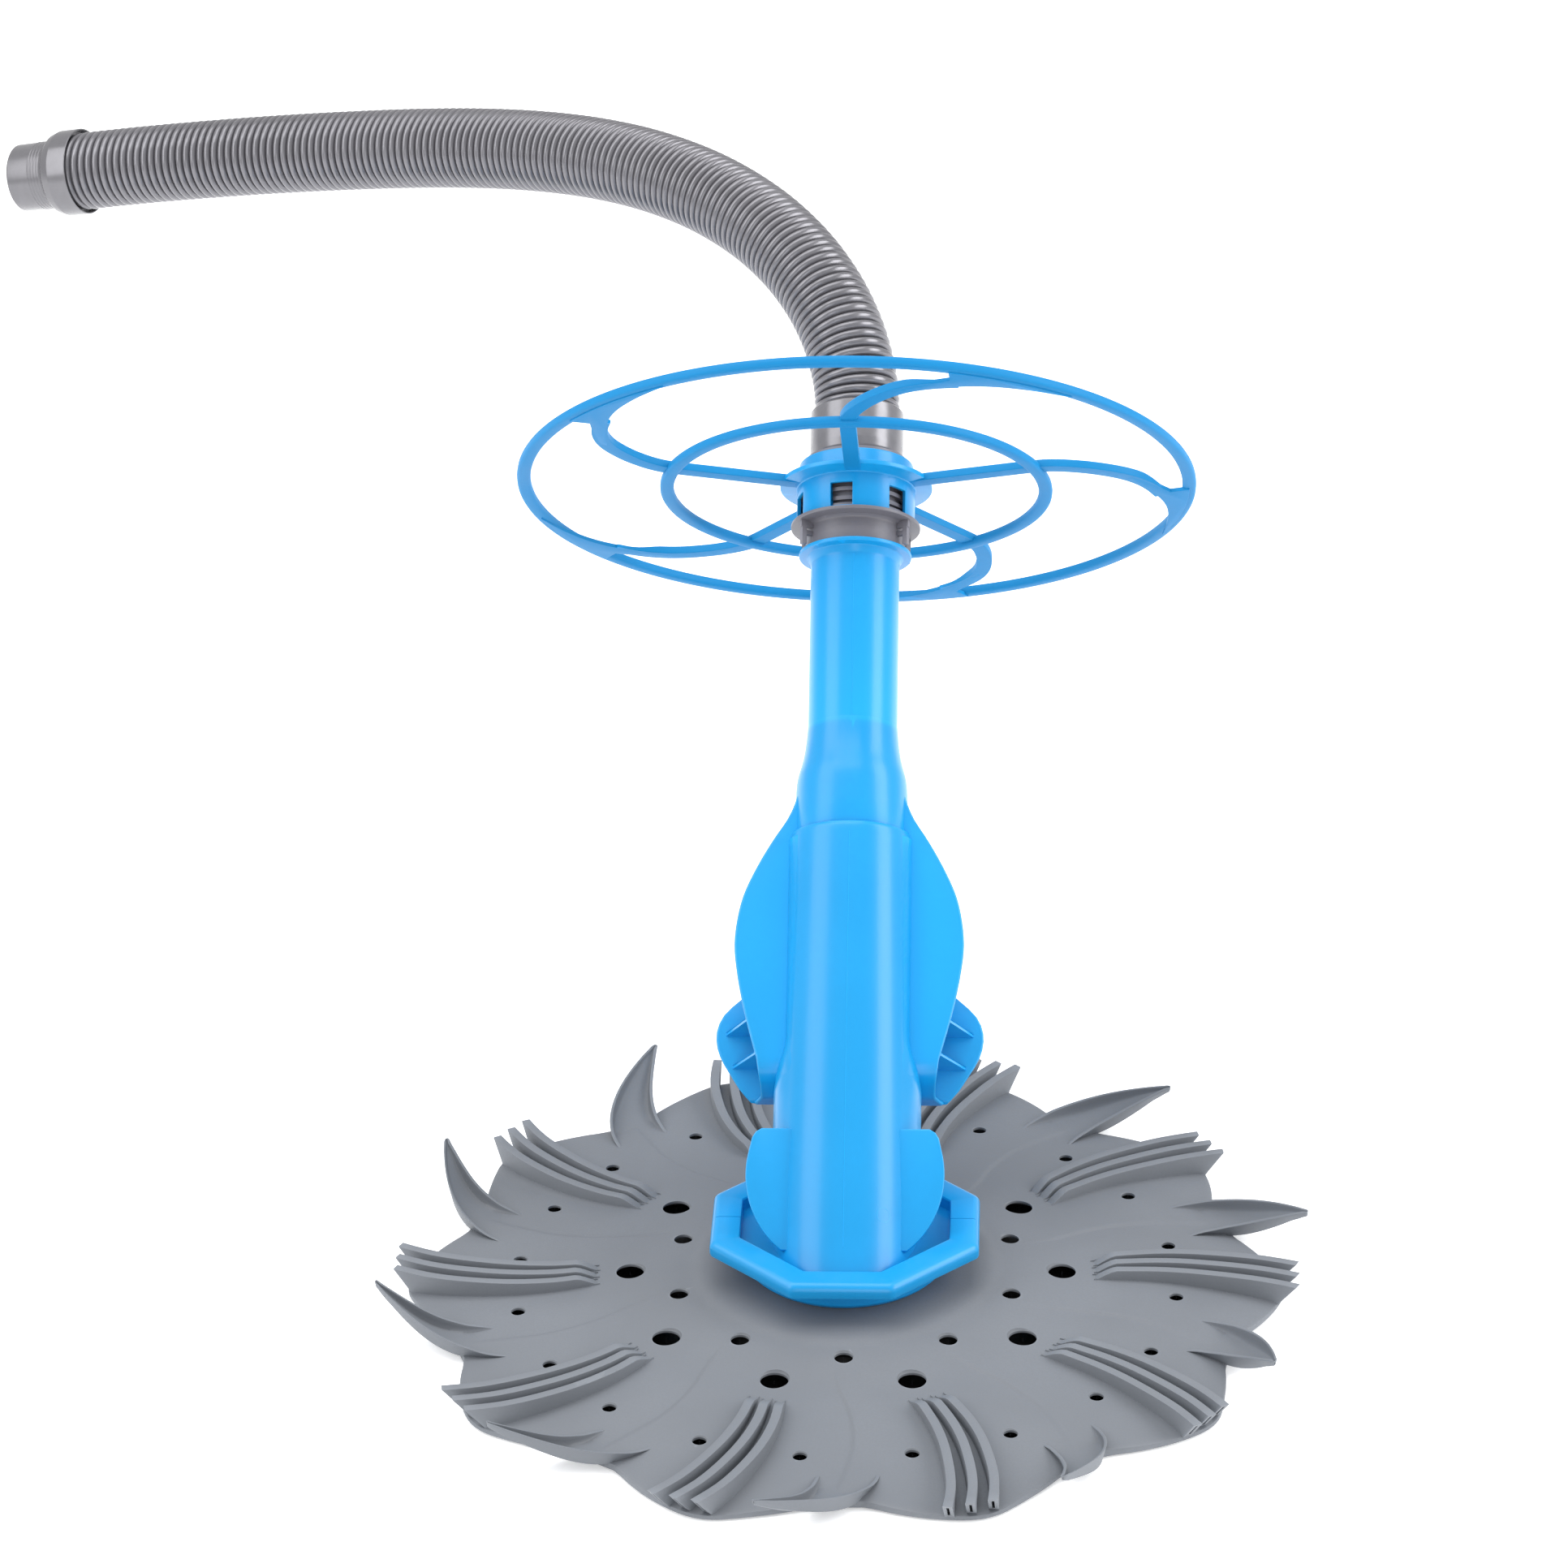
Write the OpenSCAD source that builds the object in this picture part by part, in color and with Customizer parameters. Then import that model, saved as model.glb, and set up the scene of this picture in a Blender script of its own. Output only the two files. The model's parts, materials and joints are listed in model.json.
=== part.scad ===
// Suction pool cleaner: a finned rubber disc under a leaning blue body, with a
// deflector wheel round its head and one section of corrugated hose.
// The frame's origin is on the floor under the middle of the foot, +Z up, and
// the body leans towards +Y.

/* [Disc] */
// Radius from the disc's axis to the outside of a lobe
disc_r = 217.5; // [205:0.5:230]
// Number of lobes, rib groups and fingers round the disc
lobes = 10; // [8:1:12]
// Radius of the circle through the large holes
big_hole_circle_r = 106; // [100:1:110]
// Radius of a large hole
big_hole_r = 6.8; // [4:0.1:9]
// Radius of a hole next to the foot
mid_hole_r = 4.5; // [3:0.1:6]
// Radius of a hole near the rim
small_hole_r = 3.4; // [2:0.1:5]
// Width of a rib
rib_w = 4.4; // [3:0.1:5]
// How far a finger's tip stands above the disc
finger_rise = 23.5; // [12:0.5:26]

/* [Foot] */
// Outer radius of the rubber foot pad
pad_r = 80; // [70:1:82]
// Radius of the round foot flange
flange_r = 50; // [48:0.5:54]
// Distance from the foot's axis to a flat of the octagonal bumper
bumper_flat = 65.5; // [60:0.5:72]
// Radius of the suction mouth
mouth_r = 33; // [28:0.5:35]

/* [Body] */
// Lean of the body from upright, in degrees
lean = 43.5; // [40:0.5:48]
// Outer radius of the lower body
body_r = 36.4; // [35:0.1:37]
// Outer radius of the middle body
waist_r = 30.8; // [30:0.1:32]
// Wall thickness of the blue mouldings
wall = 2.6; // [2:0.1:3]
// Widest reach of a side wing from the body's axis
wing_reach = 57; // [50:0.5:60]
// Outer radius of the extension pipe
pipe_r = 22.5; // [22:0.1:23]

/* [Deflector wheel] */
// Radius of the centre line of the outer ring
outer_ring_r = 169.5; // [150:0.5:180]
// Radius of the centre line of the inner ring
inner_ring_r = 96.5; // [80:0.5:110]
// Number of spokes
spokes = 5; // [3:1:6]
// Radius of the wheel's windowed hub
hub_r = 30; // [29.5:0.1:31]

/* [Hose] */
// Outer radius of the hose over its corrugations
hose_r = 22.5; // [20:0.1:23.5]
// Outer radius of a hose cuff
cuff_r = 23.8; // [23:0.1:25]
// Radius of the spigot at the far end of the hose
spigot_r = 19; // [18:0.1:20]

/* [Hidden] */
$fn = 72;

// One sector of the disc, and the gap that lets parts turn or slip together
sector = 360 / lobes;
disc_phase = 1;
slack = 0.08;
gap = 0.4;

// Heights of the foot's parts above the floor
pad_h = 9;
spindle_lip_z = 12.4;
spindle_lip_r = 56;
flange_z = 18;
bumper_z = 31;
bumper_h = 8;

// The spindle that the disc turns on
spindle_r = 44.2;
disc_bore_r = spindle_r + slack;

// Section of the disc: radius and height of its top, then of its underside
rim_r = disc_r + 12;
disc_top = [[disc_bore_r, 17.6], [75, 15.2], [85, 13.9], [106, 11], [162, 7], [rim_r, 2]];
disc_under = [[rim_r, 0], [disc_r - 2, 0], [162, 3.8], [106, 7.6], [75, 11.6],
              [disc_bore_r, 13.6]];

// Lobes: each is a circle about its own centre
lobe_centre_r = 144.7;
lobe_angle = 17;

// Ribs: three curved walls in each sector, each an arc about a far centre
rib_angle = 18;
rib_pitch = 3.15;
rib_arc_r = 153.8;
rib_centre = [154.6, -148.2];
rib_in_r = 122;
rib_out_r = 221;

// Fingers: raised pointed scoops at the rim, each a leaf cut from a tilted trough
finger_root = [177.3, 2.3, 1];
finger_heading = -38.5;
finger_len = 63;
finger_base_z = 3.2;
finger_thick = 2.6;
trough_r = 30;
trough_side = 4;
leaf = [[-15.5, 8.5], [-6, -3], [3.5, -14.5], [8, -11.5], [19, -6.1], [34.8, -2.2], [50.5, -1.7],
        [63, -2.4], [65.2, -0.6], [62.8, 1.4], [52, 7.5], [41.3, 12.2], [20, 17.8], [0.6, 16.4]];

// The body's axis starts at this point over the foot, and all lengths named
// with _at are distances along it
axis_y = -18.3;
axis_z = 11;
shoulder_at = 100;
waist_at = 119;
waist_end_at = 231;
collar_r = 28.3;
collar_top_at = 262;
collar_end_at = 288;
pipe_at = 240;
pipe_top_at = 381;
pipe_flange_r = 28.6;
nut_at = pipe_top_at + 0.3;
nut_flange_at = 394;
nut_top_at = 396.3;
hub_at = nut_top_at + gap;
hub_disc_at = 415.5;
hub_disc_r = 38.8;
hub_top_at = 428.6;
wheel_at = 418.6;
inner_ring_at = wheel_at - 2.6;
clip_at = 429;
cuff_at = 432.5;
cuff_end_at = 458;

// Inner parts of the body
diaphragm_top_at = 194;
inner_pipe_r = 17.8;
inner_bore_r = 15.8;
sleeve_neck_r = 20;
sleeve_journal_r = 27.9;
journal_at = 412;
journal_top_at = 422;
neck_top_at = 453;
tail_r = 20.2;
tail_flange_r = 23.5;
tail_flange_h = 2.8;
seal_at = 444;
seal_h = 3;
seal_t = 1.6;

// Route of the hose's centre line in the part's own frame
hose_start = on_axis(cuff_end_at);
hose_route = [hose_start, [-0.8, 306.4, 353.5], [-3.7, 317.6, 364.5], [-9.4, 332.1, 376.5],
              [-19.3, 350.8, 388.9], [-34.4, 373.7, 400.3], [-55.3, 400.3, 409.3], [-82.1, 429.9, 414.7],
              [-112.5, 459.2, 415.9], [-144.6, 486.4, 413.6], [-178, 511.3, 408.8], [-212.7, 533.8, 402.5],
              [-248.5, 554, 395.3], [-285.4, 572.3, 387.6], [-323.3, 589, 379.8], [-361.8, 604.3, 371.8],
              [-408, 621.1, 362], [-450.2, 635.2, 352.6]];
hose_sides = 12;
hose_wall = 2.4;
hose_end = hose_route[len(hose_route) - 1];
// Heading of the hose's end from -X towards +Y, and its dip below level
end_heading = 18;
end_dip = 12;
far_cuff_len = 16;
spigot_len = 24;

function on_axis(at) = [0, axis_y + at * sin(lean), axis_z + at * cos(lean)];
function unit(v) = v / norm(v);

module blue() { color([0.16, 0.66, 0.95]) children(); }
module gray_rubber() { color([0.53, 0.56, 0.60]) children(); }
module gray_plastic() { color([0.48, 0.48, 0.52]) children(); }
module silver() { color([0.62, 0.62, 0.65]) children(); }
module black_rubber() { color([0.12, 0.12, 0.13]) children(); }
module white_plastic() { color([0.86, 0.87, 0.88]) children(); }

// Moves children from the body's own frame, +Z along its axis, into the part's frame
module on_body(at = 0) {
    translate([0, axis_y, axis_z]) rotate([-lean, 0, 0]) translate([0, 0, at]) children();
}

// A plain tube between two distances along the Z axis
module tube(r_out, r_in, from, to) {
    rotate_extrude() translate([r_in, from]) square([r_out - r_in, to - from]);
}

// Puts children once in every sector of the disc, turned by an angle
module each_sector(angle = 0) {
    for (i = [0 : lobes - 1]) rotate(i * sector + angle + disc_phase - 90) children();
}

// ---------------------------------------------------------------- disc
module disc_outline() {
    circle(r = lobe_centre_r + 8);
    each_sector(lobe_angle) translate([lobe_centre_r, 0]) circle(r = disc_r - lobe_centre_r);
}

module rib_outlines() {
    for (side = [-1 : 1]) each_sector(rib_angle + side * rib_pitch)
        intersection() {
            translate(rib_centre) difference() {
                circle(r = rib_arc_r + rib_w / 2, $fn = 180);
                circle(r = rib_arc_r - rib_w / 2, $fn = 180);
            }
            translate([rib_in_r - 8, -30]) square([rib_out_r - rib_in_r + 14, 60]);
        }
}

// Envelope that gives the ribs their heights: low and bevelled inside, high outside
module rib_envelope() {
    rotate_extrude() polygon([[rib_in_r, 9], [rib_in_r + 8.6, 13.5], [170, 13.5], [rib_out_r, 14.1],
                              [rib_out_r - 9.5, 1.2], [170, 4.5]]);
}

module finger() {
    tilt = atan(finger_rise / finger_len);
    translate(finger_root) rotate(finger_heading) intersection() {
        translate([0, 0, finger_base_z - finger_root[2]]) linear_extrude(finger_rise + 16) polygon(leaf);
        rotate([0, -tilt, 0]) translate([-20, trough_side, trough_r]) rotate([0, 90, 0]) difference() {
            cylinder(r = trough_r, h = 120);
            translate([0, 0, -1]) cylinder(r = trough_r - finger_thick, h = 122);
            translate([-60, -60, -1]) cube([60, 120, 122]);
        }
    }
}

module disc_holes() {
    each_sector(rib_angle) translate([big_hole_circle_r, 0]) cylinder(r = big_hole_r, h = 40);
    each_sector() translate([85, 0]) cylinder(r = mid_hole_r, h = 40);
    each_sector(-6.9) translate([162.3, 0]) cylinder(r = small_hole_r, h = 40);
    each_sector(11.7) translate([162.3, 0]) cylinder(r = small_hole_r, h = 40);
}

module finned_disc() {
    gray_rubber() union() {
        difference() {
            intersection() {
                rotate_extrude() polygon(concat(disc_top, disc_under));
                linear_extrude(40) disc_outline();
            }
            disc_holes();
        }
        intersection() {
            rib_envelope();
            linear_extrude(40) rib_outlines();
        }
        each_sector() finger();
    }
}

// ---------------------------------------------------------------- foot
module foot_pad() {
    slots = 12;
    slot_w = 7;
    slot_h = 3;
    black_rubber() difference() {
        tube(pad_r, mouth_r + 1, 0, pad_h);
        for (i = [0 : slots - 1]) rotate((i + 0.5) * 360 / slots)
            translate([mouth_r + 14, -slot_w / 2, -1]) cube([pad_r, slot_w, slot_h + 1]);
    }
}

// Sleeve under the foot flange that the disc turns on, with a lip that holds the disc up
module foot_spindle() {
    white_plastic() rotate_extrude() polygon([[mouth_r + 1, pad_h], [spindle_lip_r, pad_h],
        [spindle_lip_r, spindle_lip_z], [spindle_r, spindle_lip_z], [spindle_r, flange_z],
        [mouth_r + 1, flange_z]]);
}

module foot_flange() {
    round_edge = 3;
    blue() rotate_extrude() polygon([[mouth_r, flange_z], [flange_r - round_edge, flange_z],
        [flange_r, flange_z + round_edge], [flange_r, bumper_z], [mouth_r, bumper_z]]);
}

// Corners of the bumper's octagon, a little shorter in front
bumper_edge = [[bumper_flat, 27], [27, bumper_flat], [-27, bumper_flat], [-bumper_flat, 27],
               [-bumper_flat, -22], [-24.5, -62], [24.5, -62], [bumper_flat, -22]];

module octagon(inset = 0) {
    scale((bumper_flat - inset) / bumper_flat) polygon(bumper_edge);
}

// Octagonal ring with a thin floor that joins it to the body
module bumper_ring() {
    bevel = 3.5;
    ring_t = 12;
    floor_t = 2;
    blue() difference() {
        union() {
            translate([0, 0, bumper_z]) linear_extrude(bumper_h - bevel) octagon();
            hull() {
                translate([0, 0, bumper_z + bumper_h - bevel - 0.01]) linear_extrude(0.01) octagon();
                translate([0, 0, bumper_z + bumper_h - 0.01]) linear_extrude(0.01) octagon(bevel);
            }
        }
        translate([0, 0, bumper_z + floor_t]) linear_extrude(bumper_h) octagon(ring_t);
        on_body() cylinder(r = body_r, h = 2 * shoulder_at, center = true);
    }
}

// ---------------------------------------------------------------- body
// Everything of the body stands on the foot flange's top
module above_flange() {
    intersection() {
        children();
        translate([-150, -150, bumper_z]) cube([300, 800, 600]);
    }
}

module foot_fin(side) {
    fin_plane = 22.5;
    fin_from = 14;
    fin_to = 75;
    fin_out = 48.5;
    fin_t = 2.4;
    on_body() translate([0, -fin_plane, 0]) rotate([90, 0, 0]) linear_extrude(fin_t, center = true)
        intersection() {
            translate([side > 0 ? 24 : -60, fin_from]) square([36, fin_to - fin_from]);
            translate([side * -1, 52]) circle(r = fin_out + 1, $fn = 96);
        }
}

// The body's outside, turned solid from below the floor to where the collar starts
body_profile = [[0, -30], [body_r, -30], [body_r, shoulder_at], [body_r - 1.2, shoulder_at + 7],
                [waist_r + 0.6, waist_at], [waist_r, waist_at + 8], [waist_r, waist_end_at - 2],
                [waist_r - 2, waist_end_at], [0, waist_end_at]];

// The front of the body has no shoulder: it tapers evenly from foot to collar
module front_taper() {
    front = 16;
    intersection() {
        rotate_extrude() polygon([[0, 40], [body_r, 40], [waist_r, waist_end_at - 2], [0, waist_end_at - 2]]);
        translate([-60, -60, 0]) cube([120, 60 - front, waist_end_at]);
    }
}

module body_shell() {
    blue() difference() {
        union() {
            above_flange() on_body() rotate_extrude() polygon(body_profile);
            on_body() front_taper();
            foot_fin(1);
            foot_fin(-1);
        }
        on_body() rotate_extrude() polygon([[0, -80], [body_r - wall, -80],
            [body_r - wall, shoulder_at - 2], [waist_r - wall, waist_at],
            [waist_r - wall, waist_end_at - 5], [pipe_r + 0.1, waist_end_at - 5],
            [pipe_r + 0.1, waist_end_at + 1], [0, waist_end_at + 1]]);
    }
}

// Outline of a wing in the plane through the body's axis, from its lower end up
wing_edge = [[44.4, 112], [48.4, 126], [52.2, 141], [55.2, 156], [wing_reach, 173], [55.8, 186],
             [53, 198], [47.4, 211], [38, 228], [27, 247], [20, 262]];
wing_root_r = 26;
wing_plane = 8;
wing_t = 2.4;

// The wing's tail sweeps back to the ear behind it: edge x, plane and height of each step
wing_tail = [[44.4, 8, 112], [42.8, 4, 107], [42.6, -4, 102], [44, -14, 99], [47, -25, 98.6]];

// Outline of the ear behind the wing
ear_plane = -25;
ear_edge = [[34.5, 98.8], [47, 98.8], [53, 104], [59.3, 114], [64.3, 122.5], [66.6, 130],
            [66.4, 138], [62.8, 145.5], [55, 152.5], [46, 160], [34, 166]];

module slab(plane) {
    translate([0, -plane, 0]) rotate([90, 0, 0]) linear_extrude(wing_t, center = true) children();
}

module gusset(at, reach) {
    edge = 47.5;
    translate([0, 0, at]) linear_extrude(1.8) polygon([[edge - 8, -wing_plane], [edge + 2, -wing_plane],
        [reach, -ear_plane - 1], [edge - 14, -ear_plane - 1]]);
}

// A step of the wing's tail: a thin bar across from the body to the tail's edge
module tail_bar(step) {
    translate([wing_root_r + 5, -step[1] - wing_t / 2, step[2]])
        cube([step[0] - wing_root_r - 5, wing_t, 1.6]);
}

// One wing with its ear and gussets, a clip-on moulding on the body's +X side
module wing() {
    difference() {
        union() {
            slab(wing_plane) polygon(concat([[wing_root_r, 112]], wing_edge, [[wing_root_r - 6, 262]]));
            slab(ear_plane) polygon(concat(ear_edge, [[20, 166], [20, 98.8]]));
            for (i = [0 : len(wing_tail) - 2]) hull() {
                tail_bar(wing_tail[i]);
                tail_bar(wing_tail[i + 1]);
            }
            gusset(134, 61);
            gusset(117, 57);
            translate([29, -wing_plane, 99]) cube([3.4, wing_plane - ear_plane, 68]);
        }
        rotate_extrude() polygon(body_profile);
        tube(collar_r, 0, waist_end_at - 1, collar_end_at);
    }
}

module left_wing() { blue() on_body() mirror([1, 0, 0]) wing(); }
module right_wing() { blue() on_body() wing(); }

// Step-down collar where the extension pipe leaves the body
module body_collar() {
    blue() on_body() rotate_extrude() polygon([[pipe_r + 0.1, waist_end_at], [collar_r, waist_end_at],
        [collar_r - 0.3, collar_top_at - 6], [collar_r - 1.6, collar_top_at + 1],
        [collar_r - 3.9, collar_top_at + 10], [pipe_r + 1, collar_end_at - 7],
        [pipe_r + 0.5, collar_end_at], [pipe_r + 0.1, collar_end_at]]);
}

// Funnel that leads from the suction mouth to the diaphragm
module throat_liner() {
    white_plastic() on_body() rotate_extrude() polygon([[body_r - wall - 0.2, 60],
        [body_r - wall - 0.2, 98], [waist_r - wall - 1.6, 116], [waist_r - wall - 4, 116],
        [body_r - wall - 3, 96], [body_r - wall - 3, 60]]);
}

// Rubber tube whose flattened lips open and close as it pulses
module diaphragm() {
    lip_w = 18;
    lip_t = 5;
    lip_at = 122;
    neck_at = 165;
    black_rubber() on_body() {
        difference() {
            union() {
                tube(inner_pipe_r + 2, 14, neck_at, diaphragm_top_at);
                tube(waist_r - wall - 0.6, 14, diaphragm_top_at - 5, diaphragm_top_at);
                hull() {
                    translate([0, 0, neck_at]) cylinder(r = inner_pipe_r + 2, h = 1, $fn = 32);
                    translate([-lip_w, -lip_t / 2, lip_at]) cube([2 * lip_w, lip_t, 1]);
                }
            }
            hull() {
                translate([0, 0, neck_at + 1.5]) cylinder(r = 14, h = 1, $fn = 32);
                translate([1 - lip_w, -0.4, lip_at - 1]) cube([2 * lip_w - 2, 0.8, 1]);
            }
            translate([0, 0, neck_at]) cylinder(r = 14, h = 5);
        }
    }
}

// Ring that clamps the diaphragm's flange to the inner pipe
module diaphragm_ring() {
    white_plastic() on_body() tube(waist_r - wall - 0.4, inner_pipe_r + 0.1, diaphragm_top_at + 0.2,
                                   diaphragm_top_at + 6);
}

module diaphragm_seal() {
    black_rubber() on_body() translate([0, 0, diaphragm_top_at + 8.5]) rotate_extrude()
        translate([waist_r - wall - 2.4, 0]) circle(r = 2.2);
}

module inner_pipe() {
    gray_plastic() on_body() tube(inner_pipe_r, inner_bore_r, diaphragm_top_at + 0.2, hub_disc_at);
}

// Extension pipe with the flange that the hand nut bears on
module outer_pipe() {
    flange_t = 2.6;
    blue() on_body() rotate_extrude() polygon([[pipe_r - wall, pipe_at], [pipe_r, pipe_at],
        [pipe_r, pipe_top_at - flange_t - 1.5], [pipe_r + 1.5, pipe_top_at - flange_t],
        [pipe_flange_r, pipe_top_at - flange_t], [pipe_flange_r, pipe_top_at],
        [pipe_r - wall, pipe_top_at]]);
}

// Rubber ring between the two pipes under the hand nut
module pipe_seal() {
    black_rubber() on_body() tube(pipe_r - wall - 0.1, inner_pipe_r + 0.1, pipe_top_at - 8, pipe_top_at - 2);
}

// ---------------------------------------------------------------- head
// Gray nut with a thin flange and four gussets
module hand_nut() {
    nut_r = 25;
    flange = 32.9;
    gusset_turns = [30, 150, 210, 330];
    gray_plastic() on_body() union() {
        rotate_extrude() polygon([[tail_flange_r + gap, nut_at], [nut_r + 0.6, nut_at],
            [nut_r, nut_at + 6], [nut_r, nut_flange_at], [flange, nut_flange_at + 0.5],
            [flange, nut_top_at], [tail_r + 0.2, nut_top_at], [tail_r + 0.2, nut_at + tail_flange_h + gap],
            [tail_flange_r + gap, nut_at + tail_flange_h + gap]]);
        for (turn = gusset_turns) rotate(turn) {
            translate([nut_r - 1, -1, nut_flange_at - 4]) cube([6.5, 2, 5]);
            translate([28.9, -1.2, nut_at]) cube([2.4, 2.4, nut_flange_at - nut_at + 1]);
        }
    }
}

// Sleeve that carries the wheel and, on its neck, the hose's cuff
module swivel_sleeve() {
    core_r = 24;
    band_w = 2.6;
    neck_step_r = sleeve_neck_r + 1.4;
    gray_plastic() on_body() {
        difference() {
            union() {
                tube(tail_flange_r, inner_pipe_r, pipe_top_at, pipe_top_at + tail_flange_h);
                tube(tail_r, inner_pipe_r, pipe_top_at, hub_at);
                tube(core_r, inner_pipe_r, hub_at, journal_at);
                tube(sleeve_journal_r, inner_pipe_r, hub_at, hub_at + band_w);
                for (at = [401.6, 406.6]) tube(core_r + 2.2, inner_pipe_r, at, at + 2);
                tube(sleeve_journal_r, inner_pipe_r, journal_at, journal_top_at);
                tube(neck_step_r, inner_pipe_r, journal_top_at, cuff_at - gap);
                tube(sleeve_neck_r, inner_pipe_r, cuff_at - gap, neck_top_at);
            }
            tube(sleeve_neck_r + 1, sleeve_neck_r - seal_t, seal_at, seal_at + seal_h);
        }
    }
}

// Slippery washer between the sleeve's shoulder and the wheel's inner lip
module bearing_washer() {
    white_plastic() on_body()
        tube(sleeve_journal_r - gap, sleeve_neck_r + 1.5, journal_top_at, journal_top_at + 2);
}

module hub_window() {
    window_w = 11.4;
    window_h = 12.4;
    translate([20, -window_w / 2, hub_at + 0.8]) cube([20, window_w, window_h]);
}

// The hub's outside, from its lower edge over the flange to its top edge
hub_profile = [[hub_r, hub_at], [hub_r, hub_disc_at], [hub_disc_r, hub_disc_at + 0.8],
               [hub_disc_r, wheel_at], [hub_r - 0.2, wheel_at + 0.6], [hub_r - 0.9, hub_top_at]];

// Windowed hub with its round flange
module wheel_hub() {
    lip_at = 424.3;
    lip_r = 23;
    bore = sleeve_journal_r + slack;
    windows = 6;
    blue() on_body() difference() {
        rotate_extrude() polygon(concat([[bore, hub_at]], hub_profile,
                                        [[lip_r, hub_top_at], [lip_r, lip_at], [bore, lip_at]]));
        for (i = [0 : windows - 1]) rotate(i * 360 / windows - 103) hub_window();
    }
}

ring_w = 7.2;
ring_h = 5.2;
ring_round = 2.4;

// Rounded section of the wheel's rims and spokes
module ring_section(w = ring_w, h = ring_h) {
    hull() for (x = [-1, 1], y = [-1, 1])
        translate([x * (w / 2 - ring_round), y * (h / 2 - ring_round)]) circle(r = ring_round, $fn = 24);
}

module turned_ring(r, at) {
    translate([0, 0, at]) rotate_extrude($fn = 144) translate([r, 0]) ring_section();
}

module wheel_outer_ring() { blue() on_body() turned_ring(outer_ring_r, wheel_at); }
module wheel_inner_ring() { blue() on_body() turned_ring(inner_ring_r, inner_ring_at); }

// A spoke's centre line, as distance from the axis and turn: straight, then bowed
spoke_path = [[hub_disc_r - 4, 0], [66, 0.4], [92, 0.8], [110, 2], [124, 4.6], [134, 8], [141, 12],
              [146, 16.5], [148.5, 20.5]];
spoke_w = 8;
spoke_phase = 1.7;
// Inner edge of the web that joins a spoke's end to the outer ring
web_edge = [[146, 17], [146.5, 24], [150, 31], [156.5, 38], [166, 45]];

function wheel_point(v) = v[0] * [sin(v[1]), -cos(v[1])];
function spoke_dir(i) = unit(wheel_point(spoke_path[min(i + 1, len(spoke_path) - 1)])
                             - wheel_point(spoke_path[max(i - 1, 0)]));
function spoke_side(i, w) =
    let (d = spoke_dir(i)) wheel_point(spoke_path[i]) + w / 2 * [d[1], -d[0]];

module spoke_outline() {
    last = len(spoke_path) - 1;
    polygon(concat([for (i = [0 : last]) spoke_side(i, spoke_w)],
                   [for (i = [last : -1 : 0]) spoke_side(i, -spoke_w)]));
    translate(wheel_point(spoke_path[last])) circle(r = spoke_w / 2, $fn = 24);
}

// Thin web in the crook between a spoke and the outer ring
module spoke_web() {
    web_t = 3;
    translate([0, 0, -web_t / 2]) linear_extrude(web_t)
        polygon(concat([for (p = web_edge) wheel_point(p)],
                       [for (a = [45 : -4 : 17]) wheel_point([outer_ring_r, a])]));
}

module wheel_spokes() {
    blue() on_body(wheel_at - 1) difference() {
        for (i = [0 : spokes - 1]) rotate(i * 360 / spokes - spoke_phase) {
            translate([0, 0, -ring_h / 2 + 0.6]) linear_extrude(ring_h - 1.2) spoke_outline();
            spoke_web();
        }
        translate([0, 0, 1 - wheel_at]) {
            turned_ring(outer_ring_r, wheel_at);
            turned_ring(inner_ring_r, inner_ring_at);
            rotate_extrude() polygon(concat([[0, hub_at]], hub_profile, [[0, hub_top_at]]));
        }
    }
}

// Open snap ring that keeps the wheel on its sleeve
module wheel_clip() {
    silver() on_body(clip_at) difference() {
        tube(26.2, sleeve_neck_r + 1.5, 0, 1.8);
        translate([0, -3, -1]) cube([40, 6, 4]);
    }
}

// ---------------------------------------------------------------- hose
// Cuff that turns on the sleeve's neck
module lower_cuff() {
    edge = 5;
    bore = sleeve_neck_r + slack;
    silver() on_body() rotate_extrude() polygon([[bore, cuff_at], [cuff_r - edge + 2.4, cuff_at],
        [cuff_r - 1.2, cuff_at + edge * 0.4], [cuff_r, cuff_at + edge], [cuff_r, cuff_end_at - 1],
        [cuff_r - 1, cuff_end_at], [18, cuff_end_at], [18, neck_top_at + 1], [bore, neck_top_at + 1]]);
}

// O-ring in the groove of the sleeve's neck
module cuff_seal() {
    black_rubber() on_body() tube(sleeve_neck_r - 0.05, sleeve_neck_r - seal_t, seal_at, seal_at + seal_h);
}

function route_dir(i) =
    i == 0 ? [0, sin(lean), cos(lean)]
    : i == len(hose_route) - 1 ? end_dir()
    : unit(unit(hose_route[i + 1] - hose_route[i]) + unit(hose_route[i] - hose_route[i - 1]));
function end_dir() = [-cos(end_dip) * cos(end_heading), cos(end_dip) * sin(end_heading), -sin(end_dip)];

// Ring of points square to the route at its point i
function hose_ring(i, r) =
    let (d = route_dir(i), across = unit(cross(d, [-1, 0, 0.2])), over = cross(d, across))
    [for (j = [0 : hose_sides - 1]) let (a = j * 360 / hose_sides)
     hose_route[i] + r * (cos(a) * across + sin(a) * over)];

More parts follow.
